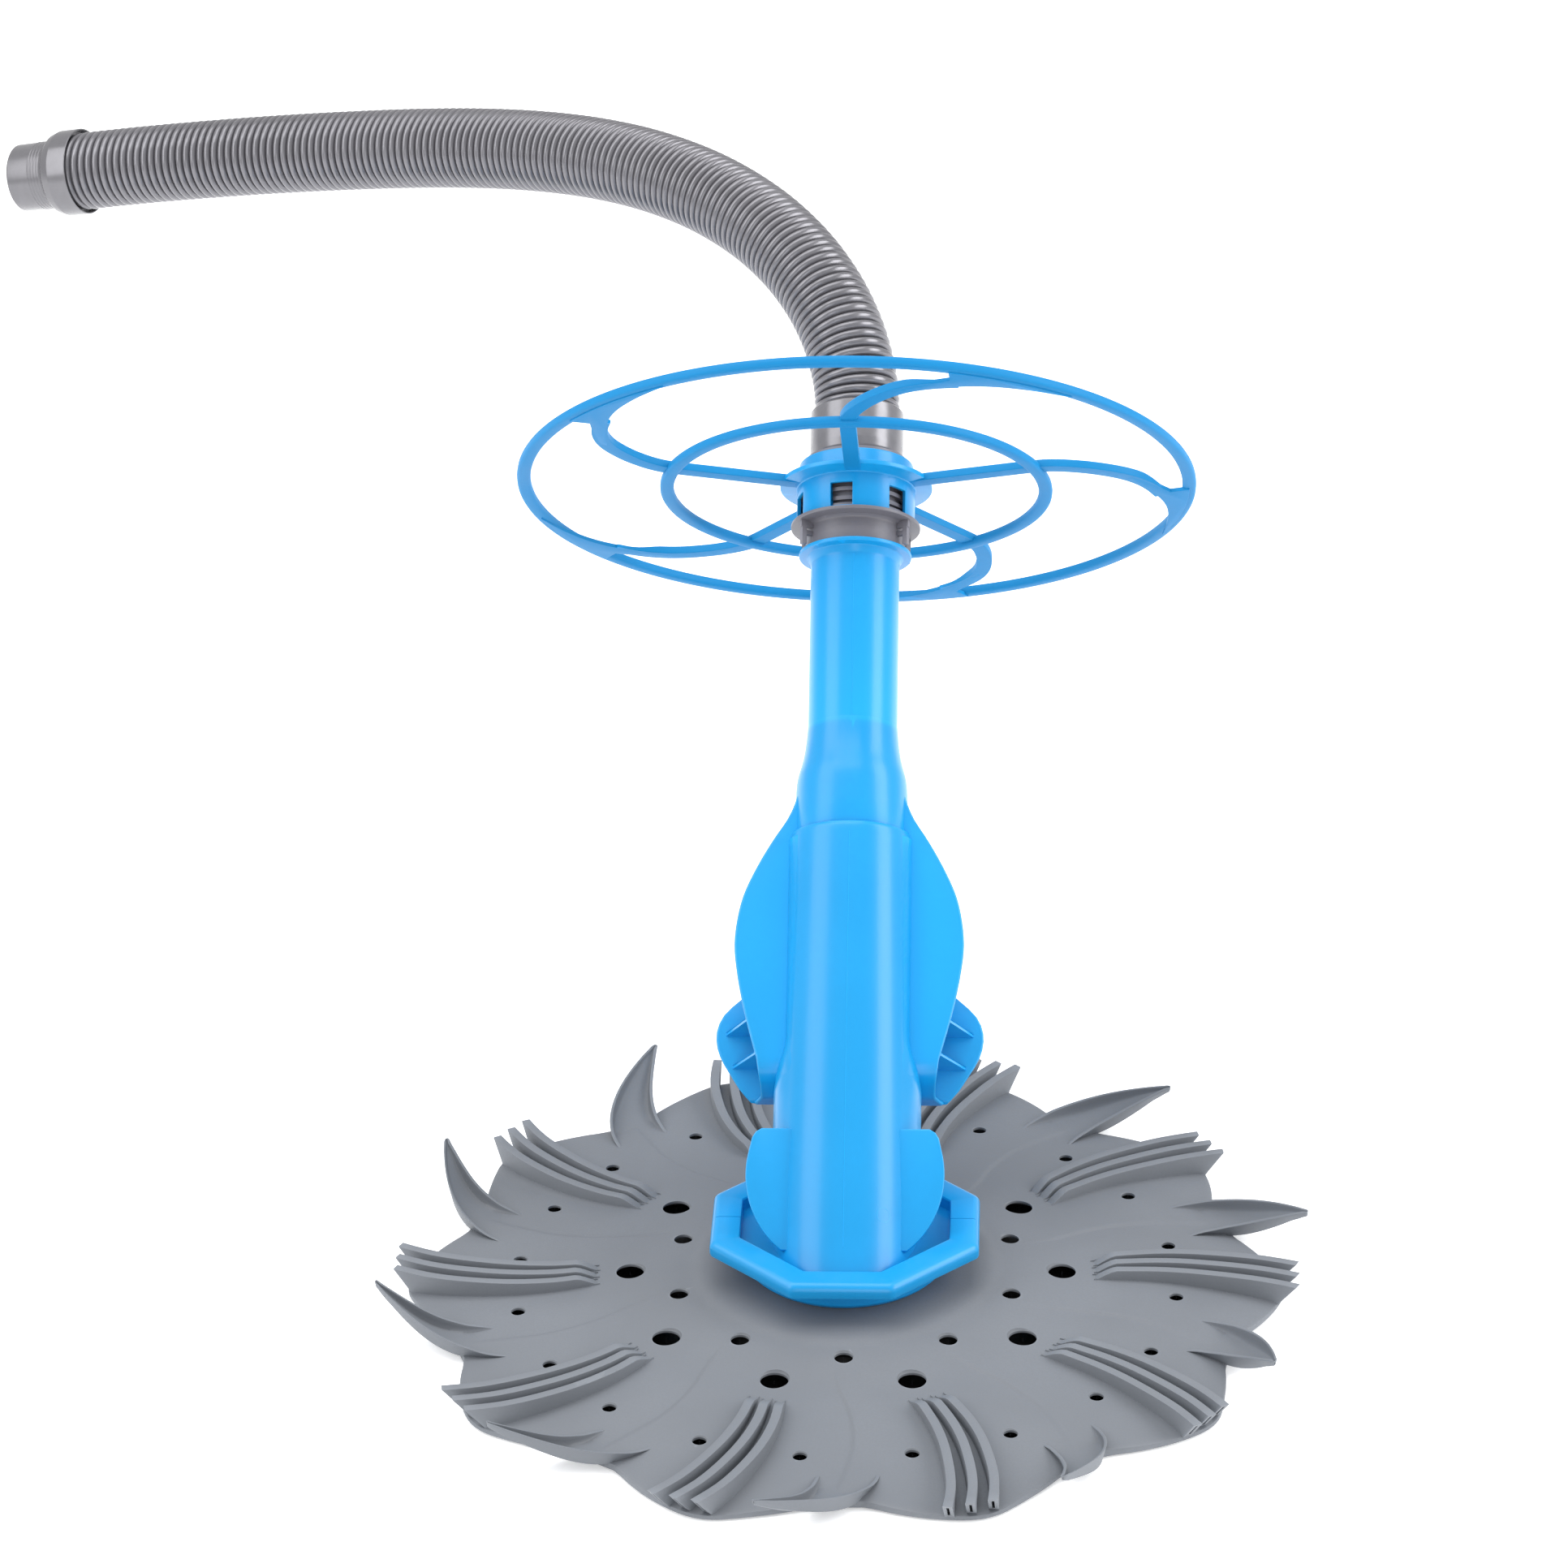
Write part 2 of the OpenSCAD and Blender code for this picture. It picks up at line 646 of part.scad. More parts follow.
// The hose as a hollow tube: its outer skin, then its inner skin, closed at both ends
module hose() {
    last = len(hose_route) - 1;
    n = hose_sides;
    inner = (last + 1) * n;
    points = concat([for (i = [0 : last]) each hose_ring(i, hose_r)],
                    [for (i = [0 : last]) each hose_ring(i, hose_r - hose_wall)]);
    outside = [for (i = [0 : last - 1]) for (j = [0 : n - 1]) let (k = (j + 1) % n, a = i * n, b = a + n)
        each [[a + j, a + k, b + k], [a + j, b + k, b + j]]];
    inside = [for (f = outside) [inner + f[2], inner + f[1], inner + f[0]]];
    ends = [for (j = [0 : n - 1]) let (k = (j + 1) % n, a = last * n)
        each [[j, inner + j, inner + k], [j, inner + k, k],
              [a + j, a + k, inner + a + k], [a + j, inner + a + k, inner + a + j]]];
    silver() polyhedron(points = points, faces = concat(outside, inside, ends));
}

// Far cuff: a shouldered collar and the spigot that the next hose pushes over
module upper_cuff() {
    bore = 16.4;
    silver() translate(hose_end) rotate([0, 0, 180 - end_heading]) rotate([0, 90 + end_dip, 0])
        rotate_extrude() polygon([[bore, 0], [cuff_r + 0.4, 0], [cuff_r + 0.4, far_cuff_len - 6],
            [cuff_r - 1.8, far_cuff_len - 1.5], [spigot_r + 0.8, far_cuff_len],
            [spigot_r, far_cuff_len + 1], [spigot_r, far_cuff_len + spigot_len - 1],
            [spigot_r - 1, far_cuff_len + spigot_len], [bore, far_cuff_len + spigot_len]]);
}

finned_disc();
foot_pad();
foot_spindle();
foot_flange();
bumper_ring();
body_shell();
left_wing();
right_wing();
throat_liner();
diaphragm();
diaphragm_ring();
diaphragm_seal();
body_collar();
inner_pipe();
outer_pipe();
pipe_seal();
hand_nut();
swivel_sleeve();
bearing_washer();
wheel_hub();
wheel_spokes();
wheel_inner_ring();
wheel_outer_ring();
wheel_clip();
lower_cuff();
cuff_seal();
hose();
upper_cuff();
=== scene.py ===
# Looks of the suction pool cleaner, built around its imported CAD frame.
# Shapes are written in millimetres in a frame of their own (the disc's, the
# body's or the hose end's) and turned to metres when their mesh is made.
import json
from math import atan2, cos, degrees, hypot, pi, radians, sin, sqrt, tan

import bmesh
import bpy
import numpy as np
from mathutils import Matrix, Vector


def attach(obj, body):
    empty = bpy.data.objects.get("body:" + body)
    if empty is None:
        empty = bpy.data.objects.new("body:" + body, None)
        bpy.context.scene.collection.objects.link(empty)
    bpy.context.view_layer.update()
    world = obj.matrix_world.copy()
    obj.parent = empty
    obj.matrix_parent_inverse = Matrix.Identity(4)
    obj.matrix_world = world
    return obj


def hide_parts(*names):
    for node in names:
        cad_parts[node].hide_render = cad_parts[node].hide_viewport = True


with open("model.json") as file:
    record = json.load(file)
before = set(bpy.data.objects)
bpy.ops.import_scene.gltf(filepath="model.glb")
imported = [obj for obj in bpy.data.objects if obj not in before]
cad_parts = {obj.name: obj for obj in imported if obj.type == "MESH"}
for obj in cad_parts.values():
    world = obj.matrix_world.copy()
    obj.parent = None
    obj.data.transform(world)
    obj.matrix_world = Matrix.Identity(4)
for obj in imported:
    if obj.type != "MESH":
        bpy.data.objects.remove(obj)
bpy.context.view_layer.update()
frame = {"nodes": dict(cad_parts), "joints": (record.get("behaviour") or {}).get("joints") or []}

MM = 0.001

# ------------------------------------------------------------------ frames
JOINTS = {joint["name"]: joint for joint in frame["joints"]}
AXIS = Vector(JOINTS["wheel_spin"]["axis"]).normalized()
# The wheel's joint lies this far along the body's axis from the axis's start
WHEEL_JOINT_AT = 410
AXIS_START = Vector(JOINTS["wheel_spin"]["pos_m"]) - WHEEL_JOINT_AT * MM * AXIS
# The disc is one sector repeated, its first sector's line this many degrees past the front
DISC_PHASE = 1
LOBES = 10
SECTOR = 360 / LOBES


def placed(x_axis, y_axis, z_axis, origin):
    """A matrix that turns to three axes and moves to an origin."""
    turn = Matrix((x_axis, y_axis, z_axis)).transposed().to_4x4()
    return Matrix.Translation(origin) @ turn


def frame_matrix(x_axis, y_axis, z_axis, origin):
    """A matrix from millimetres in a frame of its own to metres in the shared frame."""
    return placed(x_axis, y_axis, z_axis, origin) @ Matrix.Scale(MM, 4)


X = Vector((1, 0, 0))
BODY = frame_matrix(X, AXIS.cross(X), AXIS, AXIS_START)
DISC = Matrix.Rotation(radians(DISC_PHASE - 90), 4, "Z") @ Matrix.Scale(MM, 4)
FOOT = Matrix.Scale(MM, 4)


def on_axis(at):
    """A point on the body's axis, in metres."""
    return AXIS_START + at * MM * AXIS


def add_object(name, data):
    """An object of a mesh, camera or light, put into the scene."""
    thing = bpy.data.objects.new(name, data)
    bpy.context.scene.collection.objects.link(thing)
    return thing


# ------------------------------------------------------------------ camera
CAMERA_PLACE = Vector((0.0851, -2.4147, 1.4467))
CAMERA_LOOK = Vector((-0.04164, 0.89906, -0.43584)).normalized()
CAMERA_ROLL = radians(-0.874)
CAMERA_LENS = 131.0


def make_camera():
    """The camera at the photograph's place, with its slight roll."""
    data = bpy.data.cameras.new("camera")
    data.lens = CAMERA_LENS
    data.sensor_width = 36
    data.clip_start = 0.05
    data.clip_end = 100
    camera = add_object("camera", data)
    right = CAMERA_LOOK.cross(Vector((0, 0, 1))).normalized()
    up = right.cross(CAMERA_LOOK)
    rolled_right = right * cos(CAMERA_ROLL) + up * sin(CAMERA_ROLL)
    rolled_up = up * cos(CAMERA_ROLL) - right * sin(CAMERA_ROLL)
    camera.matrix_world = placed(rolled_right, rolled_up, -CAMERA_LOOK, CAMERA_PLACE)
    bpy.context.scene.camera = camera


make_camera()


# --------------------------------------------------------------- materials
BUMP_DEPTH = 0.0004
CLOUD_SCALE = 14
# Pointiness between which sharp edges get a painted highlight and hollows a painted shade, and the
# factor each reaches
EDGE_POINTY, EDGE_HIGHLIGHT_FACTOR = (0.51, 0.58), 1.7
HOLLOW_POINTY, HOLLOW_SHADE_FACTOR = (0.42, 0.49), 0.35


def socket(node, name, value):
    node.inputs[name].default_value = value


def moulded(name, color, rough, mottle=0.06, bump=0.03, grain=420, edge=0.0, metal=0.0,
            coat=0.0, painted_hollow_shade=0.0, rough_spread=0.05, flow=1.0, shine=0.5):
    """A moulded plastic or rubber. color is linear RGB, mottle how far it drifts in broad
    clouds, bump and grain the strength and fineness of its texture, edge how much a painted
    highlight lightens sharp edges, painted_hollow_shade how much painted shade darkens hollows,
    rough_spread how far the roughness drifts, and shine the strength of reflections. flow under
    1 draws the clouds out along Z."""
    material = bpy.data.materials.new(name)
    material.use_nodes = True
    tree = material.node_tree
    shader = tree.nodes["Principled BSDF"]
    socket(shader, "Metallic", metal)
    socket(shader, "Coat Weight", coat)
    socket(shader, "Coat Roughness", 0.12)
    socket(shader, "IOR", 1.5)
    socket(shader, "Specular IOR Level", shine)

    place = tree.nodes.new("ShaderNodeTexCoord")
    stretch = tree.nodes.new("ShaderNodeMapping")
    socket(stretch, "Scale", (1, 1, flow))
    tree.links.new(place.outputs["Object"], stretch.inputs["Vector"])

    def noise(scale, detail):
        node = tree.nodes.new("ShaderNodeTexNoise")
        socket(node, "Scale", scale)
        socket(node, "Detail", detail)
        tree.links.new(stretch.outputs["Vector"], node.inputs["Vector"])
        return node.outputs["Fac"]

    def ramp(fac, low, high, from_low=0.3, from_high=0.7):
        node = tree.nodes.new("ShaderNodeMapRange")
        node.interpolation_type = "SMOOTHSTEP"
        socket(node, "From Min", from_low)
        socket(node, "From Max", from_high)
        socket(node, "To Min", low)
        socket(node, "To Max", high)
        tree.links.new(fac, node.inputs["Value"])
        return node.outputs["Result"]

    def mix(fac, a, b):
        node = tree.nodes.new("ShaderNodeMix")
        node.data_type = "RGBA"
        tree.links.new(fac, node.inputs["Factor"])
        for value, name in ((a, "A"), (b, "B")):
            target = [i for i in node.inputs if i.name == name and i.type == "RGBA"][0]
            if isinstance(value, tuple):
                target.default_value = (*value, 1)
            else:
                tree.links.new(value, target)
        return [o for o in node.outputs if o.type == "RGBA"][0]

    def shade(factor):
        return tuple(min(1.0, c * factor) for c in color)

    clouds = noise(CLOUD_SCALE, 3)
    fine = noise(grain, 2)
    tone = mix(ramp(clouds, 0, 1), shade(1 - mottle), shade(1 + mottle))
    tone = mix(ramp(fine, 0, 0.35), tone, shade(1 - 1.6 * mottle))
    if edge or painted_hollow_shade:
        geometry = tree.nodes.new("ShaderNodeNewGeometry")
        pointy = geometry.outputs["Pointiness"]
        if edge:
            # Sharp edges lighten by pointiness: painted highlight
            tone = mix(ramp(pointy, 0, edge, *EDGE_POINTY), tone, shade(EDGE_HIGHLIGHT_FACTOR))
        if painted_hollow_shade:
            # Hollows darken by pointiness: painted shade
            tone = mix(ramp(pointy, painted_hollow_shade, 0, *HOLLOW_POINTY), tone, shade(HOLLOW_SHADE_FACTOR))
    tree.links.new(tone, shader.inputs["Base Color"])
    roughness = ramp(clouds, rough - rough_spread, rough + rough_spread)
    tree.links.new(roughness, shader.inputs["Roughness"])
    bumps = tree.nodes.new("ShaderNodeBump")
    socket(bumps, "Strength", bump)
    socket(bumps, "Distance", BUMP_DEPTH)
    tree.links.new(fine, bumps.inputs["Height"])
    tree.links.new(bumps.outputs["Normal"], shader.inputs["Normal"])
    return material


# Where these materials lighten edges or darken hollows, the sharp edges get a painted highlight and
# the hollows a painted shade
BLUE = moulded("azure_plastic", (0.0045, 0.254, 0.565), 0.30, mottle=0.03, bump=0.04,
               grain=260, edge=0.3, coat=0.06, rough_spread=0.02, shine=0.34)
# The wheel's blue is darker than the body's: painted shade for the wheel's underside. It is also
# less glossy.
SHADED_WHEEL_BLUE = moulded("wheel_azure_plastic_painted_shade", (0.0045, 0.185, 0.43), 0.5, mottle=0.03,
                     bump=0.05, grain=260, edge=0.3, shine=0.18)
# The flange's blue is brighter and bluer than the body's: painted light against the shade under the
# bumper
LIT_FLANGE_BLUE = moulded("flange_azure_plastic_painted_light", (0.005, 0.25, 0.60), 0.36, mottle=0.04,
                    bump=0.06, grain=260, edge=0.3, shine=0.3)
DISC_GRAY = moulded("disc_rubber", (0.142, 0.154, 0.173), 0.6, mottle=0.05, bump=0.12,
                    grain=900, edge=0.3, painted_hollow_shade=0.3)
BLACK = moulded("black_rubber", (0.02, 0.02, 0.022), 0.6, mottle=0.15, bump=0.15, grain=700)
WHITE = moulded("white_plastic", (0.55, 0.56, 0.57), 0.38, mottle=0.03, bump=0.05, grain=300)
GRAY = moulded("gray_plastic", (0.13, 0.126, 0.145), 0.42, mottle=0.06, bump=0.08,
               grain=380, edge=0.3)
SILVER = moulded("silver_plastic", (0.168, 0.165, 0.180), 0.24, mottle=0.05, bump=0.06,
                 grain=500, metal=0.5, edge=0.2, painted_hollow_shade=0.85, rough_spread=0.03)
CUFF_SILVER = moulded("dark_satin_silver_plastic", (0.175, 0.172, 0.185), 0.24, mottle=0.12,
                      bump=0.08, grain=240, metal=0.45, rough_spread=0.03, flow=0.3)


# ------------------------------------------------------------ mesh helpers
def weld(parts):
    """Joins several (points, faces) shapes into one."""
    points, faces = [], []
    for part_points, part_faces in parts:
        start = len(points)
        points.extend(part_points)
        faces.extend([tuple(i + start for i in face) for face in part_faces])
    return points, faces


def loft(loops, ring=False):
    """Skin over closed loops of points, all of one length. With ring the last loop joins
    the first, and without it both are closed with a cap."""
    size = len(loops[0])
    count = len(loops)
    points = [tuple(p) for loop in loops for p in loop]
    faces = []
    for i in range(count if ring else count - 1):
        a, b = i * size, (i + 1) % count * size
        for j in range(size):
            k = (j + 1) % size
            faces.append((a + j, a + k, b + k, b + j))
    if not ring:
        faces.append(tuple(range(size - 1, -1, -1)))
        faces.append(tuple(range((count - 1) * size, count * size)))
    return points, faces


def fillet(corners, radius, steps=4):
    """A closed polygon with its corners rounded. radius is one number or one a corner."""
    rounded = []
    count = len(corners)
    for i, corner in enumerate(corners):
        r = radius[i] if hasattr(radius, "__len__") else radius
        p = Vector(corner)
        back, ahead = Vector(corners[i - 1]) - p, Vector(corners[(i + 1) % count]) - p
        reach_limit = 0.49 * min(back.length, ahead.length)
        half = back.angle(ahead) / 2
        # A corner that is nearly straight stays, and a folded one is rounded all it can be
        if r <= 0 or half > 1.55:
            rounded.append(tuple(p))
            continue
        reach = min(r / tan(half), reach_limit) if half > 0.01 else reach_limit
        start, end = p + back.normalized() * reach, p + ahead.normalized() * reach
        for k in range(steps + 1):
            t = k / steps
            rounded.append(tuple(start * (1 - t) ** 2 + p * 2 * t * (1 - t) + end * t * t))
    return rounded


def round_path(corners, radius, steps=6):
    """An open polyline with its inner corners rounded."""
    return fillet(corners, [0, *radius, 0], steps)


def curve_through(points, steps):
    """A smooth open curve through points, with steps spans between each two."""
    p = [np.array(q, float) for q in points]
    p = [2 * p[0] - p[1], *p, 2 * p[-1] - p[-2]]
    out = []
    for i in range(1, len(p) - 2):
        for k in range(steps):
            t = k / steps
            out.append(0.5 * (2 * p[i] + (p[i + 1] - p[i - 1]) * t
                              + (2 * p[i - 1] - 5 * p[i] + 4 * p[i + 1] - p[i + 2]) * t * t
                              + (3 * p[i] - p[i - 1] - 3 * p[i + 1] + p[i + 2]) * t ** 3))
    out.append(p[-2])
    return out


def look_up(table, at):
    """Value at a place in a table of (place, value) rows, along a smooth curve."""
    places = [row[0] for row in table]
    values = [row[1] for row in table]
    slopes = np.gradient(values, places)
    at = min(max(at, places[0]), places[-1])
    i = min(int(np.searchsorted(places, at, "right")) - 1, len(places) - 2)
    span = places[i + 1] - places[i]
    t = (at - places[i]) / span
    return ((2 * t ** 3 - 3 * t * t + 1) * values[i]
            + (t ** 3 - 2 * t * t + t) * span * slopes[i]
            + (3 * t * t - 2 * t ** 3) * values[i + 1]
            + (t ** 3 - t * t) * span * slopes[i + 1])


def smooth(t):
    """Eases from 0 to 1 as t goes from 0 to 1."""
    t = min(1.0, max(0.0, t))
    return t * t * (3 - 2 * t)


def polar(r, angle, z):
    """A point at a radius, at an angle in degrees from +X, and at a height."""
    return (r * cos(radians(angle)), r * sin(radians(angle)), z)


def circle(steps):
    """Evenly spread angles of a whole turn, in radians."""
    return [2 * pi * k / steps for k in range(steps)]


def lathe(profile, steps=144):
    """Turns a closed profile of (radius, height) round the Z axis."""
    return loft([[(r * cos(a), r * sin(a), z) for r, z in profile] for a in circle(steps)],
                ring=True)


MITRE_LIMIT = 0.35


def inset(outline, distance):
    """A closed anticlockwise outline moved inwards by distance, point by point."""
    count = len(outline)
    moved = []
    for i in range(count):
        before, here, after = (Vector(outline[(i + k) % count][:2]) for k in (-1, 0, 1))
        d1, d2 = (here - before).normalized(), (after - here).normalized()
        n1, n2 = Vector((-d1.y, d1.x)), Vector((-d2.y, d2.x))
        n = (n1 + n2).normalized()
        moved.append(tuple(here + n * distance / max(MITRE_LIMIT, n.dot(n1))))
    return moved


def plate(outline, low, high, edge, steps=3):
    """A flat plate with rounded edges. The outline runs anticlockwise."""
    turns = [pi / 2 * k / steps for k in range(steps + 1)]
    bottom = [[(x, y, low + edge * (1 - cos(a))) for x, y in inset(outline, edge * (1 - sin(a)))]
              for a in turns]
    top = [[(x, y, high - edge * (1 - cos(a))) for x, y in inset(outline, edge * (1 - sin(a)))]
           for a in turns[::-1]]
    return loft(bottom + top)


def turned(shape, matrix):
    """A (points, faces) shape moved by a matrix."""
    points, faces = shape
    return [tuple(matrix @ Vector(p)) for p in points], faces


def spun(shape, angle):
    """A shape turned round the Z axis by an angle in degrees."""
    return turned(shape, Matrix.Rotation(radians(angle), 4, "Z"))


def around(shape, count, start=0.0):
    """Copies of a shape, spread evenly round the Z axis."""
    return weld([spun(shape, start + i * 360 / count) for i in range(count)])


def mesh_of(name, points, faces, weld_at=0.0):
    """A mesh whose faces look outwards. Points closer than weld_at become one."""
    mesh = bpy.data.meshes.new(name)
    mesh.from_pydata(points, [], faces)
    work = bmesh.new()
    work.from_mesh(mesh)
    if weld_at:
        bmesh.ops.remove_doubles(work, verts=work.verts, dist=weld_at)
    bmesh.ops.recalc_face_normals(work, faces=work.faces)
    work.to_mesh(mesh)
    work.free()
    return mesh


def make(name, shape, matrix, material, body, nodes, sharp=32, weld_at=0.0):
    """A mesh object of a shape, riding on a body, in the place of CAD nodes."""
    points, faces = shape
    coords = np.array(points, float) @ np.array(matrix.to_3x3()).T + np.array(matrix.translation)
    mesh = mesh_of(name, coords.tolist(), faces, weld_at)
    mesh.validate()
    mesh.shade_smooth()
    mesh.set_sharp_from_angle(angle=radians(sharp))
    piece = add_object(name, mesh)
    mesh.materials.append(material)
    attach(piece, body)
    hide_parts(*nodes)
    return piece


def cut(shape, cutters, bevel=0.0, bevel_angle=50):
    """A shape with other shapes cut away, and its sharp edges bevelled."""
    base, *tools = [add_object("scratch", mesh_of("scratch", *part)) for part in (shape, *cutters)]
    for tool in tools:
        step = base.modifiers.new("cut", "BOOLEAN")
        step.operation = "DIFFERENCE"
        step.solver = "EXACT"
        step.object = tool
    if bevel:
        step = base.modifiers.new("bevel", "BEVEL")
        step.width = bevel
        step.segments = 2
        step.limit_method = "ANGLE"
        step.angle_limit = radians(bevel_angle)
        step.use_clamp_overlap = True
    evaluated = base.evaluated_get(bpy.context.evaluated_depsgraph_get())
    result = bpy.data.meshes.new_from_object(evaluated)
    points = [tuple(v.co) for v in result.vertices]
    faces = [tuple(p.vertices) for p in result.polygons]
    for piece in (base, *tools):
        bpy.data.objects.remove(piece)
    return points, faces


def block(low, high):
    """A box between two corners."""
    (x0, y0, z0), (x1, y1, z1) = low, high
    return loft([[(x0, y0, z), (x1, y0, z), (x1, y1, z), (x0, y1, z)] for z in (z0, z1)])


# -------------------------------------------------------------------- hose
HOSE_R = 21.85
HOSE_BORE_R = 18.0
HOSE_SIDES = 60
RIDGE_PITCH = 4.6
GROOVE_DEPTH = 3.4
# Places within one ridge, from groove to groove, and the power that rounds the ridge
RIDGE_PLACES = (0.0, 0.06, 0.14, 0.24, 0.37, 0.5, 0.63, 0.76, 0.86, 0.94)
RIDGE_POWER = 2.1
# Spans of the centre line between two points of its route
ROUTE_STEPS = 60
CUFF_END_AT = 458
END_HEADING = radians(18)
END_DIP = radians(12)
END_DIR = Vector((-cos(END_DIP) * cos(END_HEADING), cos(END_DIP) * sin(END_HEADING),
                  -sin(END_DIP)))
HOSE_ROUTE = [
    on_axis(CUFF_END_AT), (-0.0008, 0.3064, 0.3535), (-0.0037, 0.3176, 0.3645),
    (-0.0094, 0.3321, 0.3765), (-0.0193, 0.3508, 0.3889), (-0.0344, 0.3737, 0.4003),
    (-0.0553, 0.4003, 0.4093), (-0.0821, 0.4299, 0.4147), (-0.1125, 0.4592, 0.4159),
    (-0.1446, 0.4864, 0.4136), (-0.178, 0.5113, 0.4088), (-0.2127, 0.5338, 0.4025),
    (-0.2485, 0.554, 0.3953), (-0.2854, 0.5723, 0.3876), (-0.3233, 0.589, 0.3798),
    (-0.3618, 0.6043, 0.3718), (-0.408, 0.6211, 0.362), (-0.4502, 0.6352, 0.3526)]
HOSE_END = Vector(HOSE_ROUTE[-1])


def hose_line():
    """The hose's centre line as close points, in metres, and how far along it each lies."""
    route = [np.array(p, float) for p in HOSE_ROUTE]
    before = route[0] - np.array(AXIS) * 0.02
    after = route[-1] + np.array(END_DIR) * 0.04
    curve = curve_through([before, *route, after], ROUTE_STEPS)
    curve = np.array(curve[ROUTE_STEPS:-ROUTE_STEPS])
    steps = np.linalg.norm(np.diff(curve, axis=0), axis=1)
    run = np.concatenate([[0], np.cumsum(steps)])
    return curve, run


def make_hose():
    """The corrugated hose: rings along it over the ridges, and back through the bore."""
    curve, run = hose_line()
    length = run[-1]
    ridges = round(length / (RIDGE_PITCH * MM))
    stations = [(i + t) / ridges * length for i in range(ridges) for t in RIDGE_PLACES] + [length]
    radii = [HOSE_R - GROOVE_DEPTH * (1 - sqrt(1 - abs(2 * t - 1) ** RIDGE_POWER))
             for t in RIDGE_PLACES] * ridges
    radii.append(radii[0])
    centres = np.stack([np.interp(stations, run, curve[:, k]) for k in range(3)], 1)
    ahead = np.gradient(centres, axis=0)
    ahead /= np.linalg.norm(ahead, axis=1)[:, None]
    angles = circle(HOSE_SIDES)
    side = np.array((1.0, 0, 0))
    outer, inner = [], []
    for centre, d, r in zip(centres, ahead, radii):
        side = side - d * (side @ d)
        side /= np.linalg.norm(side)
        over = np.cross(d, side)
        ring = [cos(a) * side + sin(a) * over for a in angles]
        outer.append([centre + r * MM * v for v in ring])
        inner.append([centre + HOSE_BORE_R * MM * v for v in ring])
    # The bore needs no ridges, so it is built from one ring a ridge
    shape = loft(outer + inner[::-len(RIDGE_PLACES)], ring=True)
    skin = make("hose_skin", shape, Matrix.Identity(4), SILVER, "hose",
                ["hose"], sharp=70)
    return skin, centres, length


CUFF_SIDES = 96
UPPER_CUFF = [
    (23.4, -2.6), (24.2, -2.6), (24.2, 9), (22.8, 13.4), (20.2, 15.6), (19.2, 17.2), (19, 38.6),
    (16.4, 38.6), (16.4, 2), (23.4, 2)]
UPPER_CUFF_ROUND = [0.2, 0.4, 3, 2, 1.4, 1, 1.2, 0.5, 0, 0.3]
LOWER_CUFF = [
    (21.9, 431.4), (22.6, 431.3), (23.3, 433), (23.8, 437), (23.8, 457), (22.9, CUFF_END_AT),
    (18, CUFF_END_AT), (18, 454.2), (20.08, 454.2), (20.08, 432.6), (21.9, 432.6)]
LOWER_CUFF_ROUND = [0, 0.3, 1.2, 3, 0.8, 0.4, 0, 0, 0, 0, 0]


def make_upper_cuff():
    """The fitting on the hose's far end, with four fine ridges round its neck."""
    across = Vector((0, 0, 1)).cross(END_DIR).normalized()
    place = frame_matrix(across, END_DIR.cross(across), END_DIR, HOSE_END)
    parts = [lathe(fillet(UPPER_CUFF, UPPER_CUFF_ROUND, 5), CUFF_SIDES)]
    for z in (18.6, 20.6, 22.6, 24.4):
        ridge = [(19.08 + 0.22 * cos(a), z + 0.5 * sin(a)) for a in circle(10)]
        parts.append(lathe(ridge, CUFF_SIDES))
    return make("hose_end_cuff", weld(parts), place, CUFF_SILVER, "hose",
                ["upper_cuff"])


def make_lower_cuff():
    shape = lathe(fillet(LOWER_CUFF, LOWER_CUFF_ROUND, 5), CUFF_SIDES)
    return make("hose_lower_cuff", shape, BODY, CUFF_SILVER, "hose",
                ["lower_cuff"])


hose, hose_centres, hose_length = make_hose()
upper_cuff = make_upper_cuff()
lower_cuff = make_lower_cuff()


# -------------------------------------------------------------------- disc
DISC_BORE_R = 44.28
# Height of the disc's top and underside, by radius
DISC_TOP = [
    (DISC_BORE_R, 17.6), (60, 16.5), (72, 15.6), (75, 15.1), (85, 13.9), (106, 11), (130, 9.2),
    (162, 7), (190, 4.9), (218, 2.95), (232, 2)]
DISC_UNDER = [
    (DISC_BORE_R, 13.6), (75, 11.6), (106, 7.6), (162, 3.8), (200, 1.3), (215, 0.05), (232, 0.05)]
# Outline of a lobe: degrees past the sector's line, from notch to notch, and radius
NOTCH_AT = 3
LOBE_EDGE = [
    (NOTCH_AT, 196), (4.5, 198), (6.5, 201.6), (8.5, 205), (11, 208.8), (14, 212.6), (16, 214.6),
    (18, 215.4), (20, 214.4), (22.5, 211), (25, 207.2), (27, 204.3), (29, 201.3), (31, 198.4),
    (33, 196.8), (36, 196), (39, 196)]
# The ribs stand in the middle of a sector
SECTOR_MIDDLE = SECTOR / 2


def disc_edge(angle):
    """Radius of the disc's edge at an angle past a sector's line."""
    turn = (angle - NOTCH_AT) % SECTOR + NOTCH_AT
    return look_up(LOBE_EDGE, turn)


# A low step on the disc's top: its line as radius and degrees, how deep it is, and how
# many degrees its face and the ease back up behind it take
SWIRL_LINE = [
    (90, -2.8), (105, -1), (125, 1.8), (150, 2.5), (170, 1.2), (190, -0.6), (205, -3.1)]
SWIRL_DEPTH = [(90, 0.0), (104, 0.6), (125, 1.0), (165, 1.0), (190, 0.8), (205, 0.3)]
SWIRL_FACE, SWIRL_FADE = 0.9, 9.5
# The middle of the disc, which carries the foot, ends in a low step
MIDDLE_R, MIDDLE_FACE, MIDDLE_STEP = 73.5, 1.4, 0.5


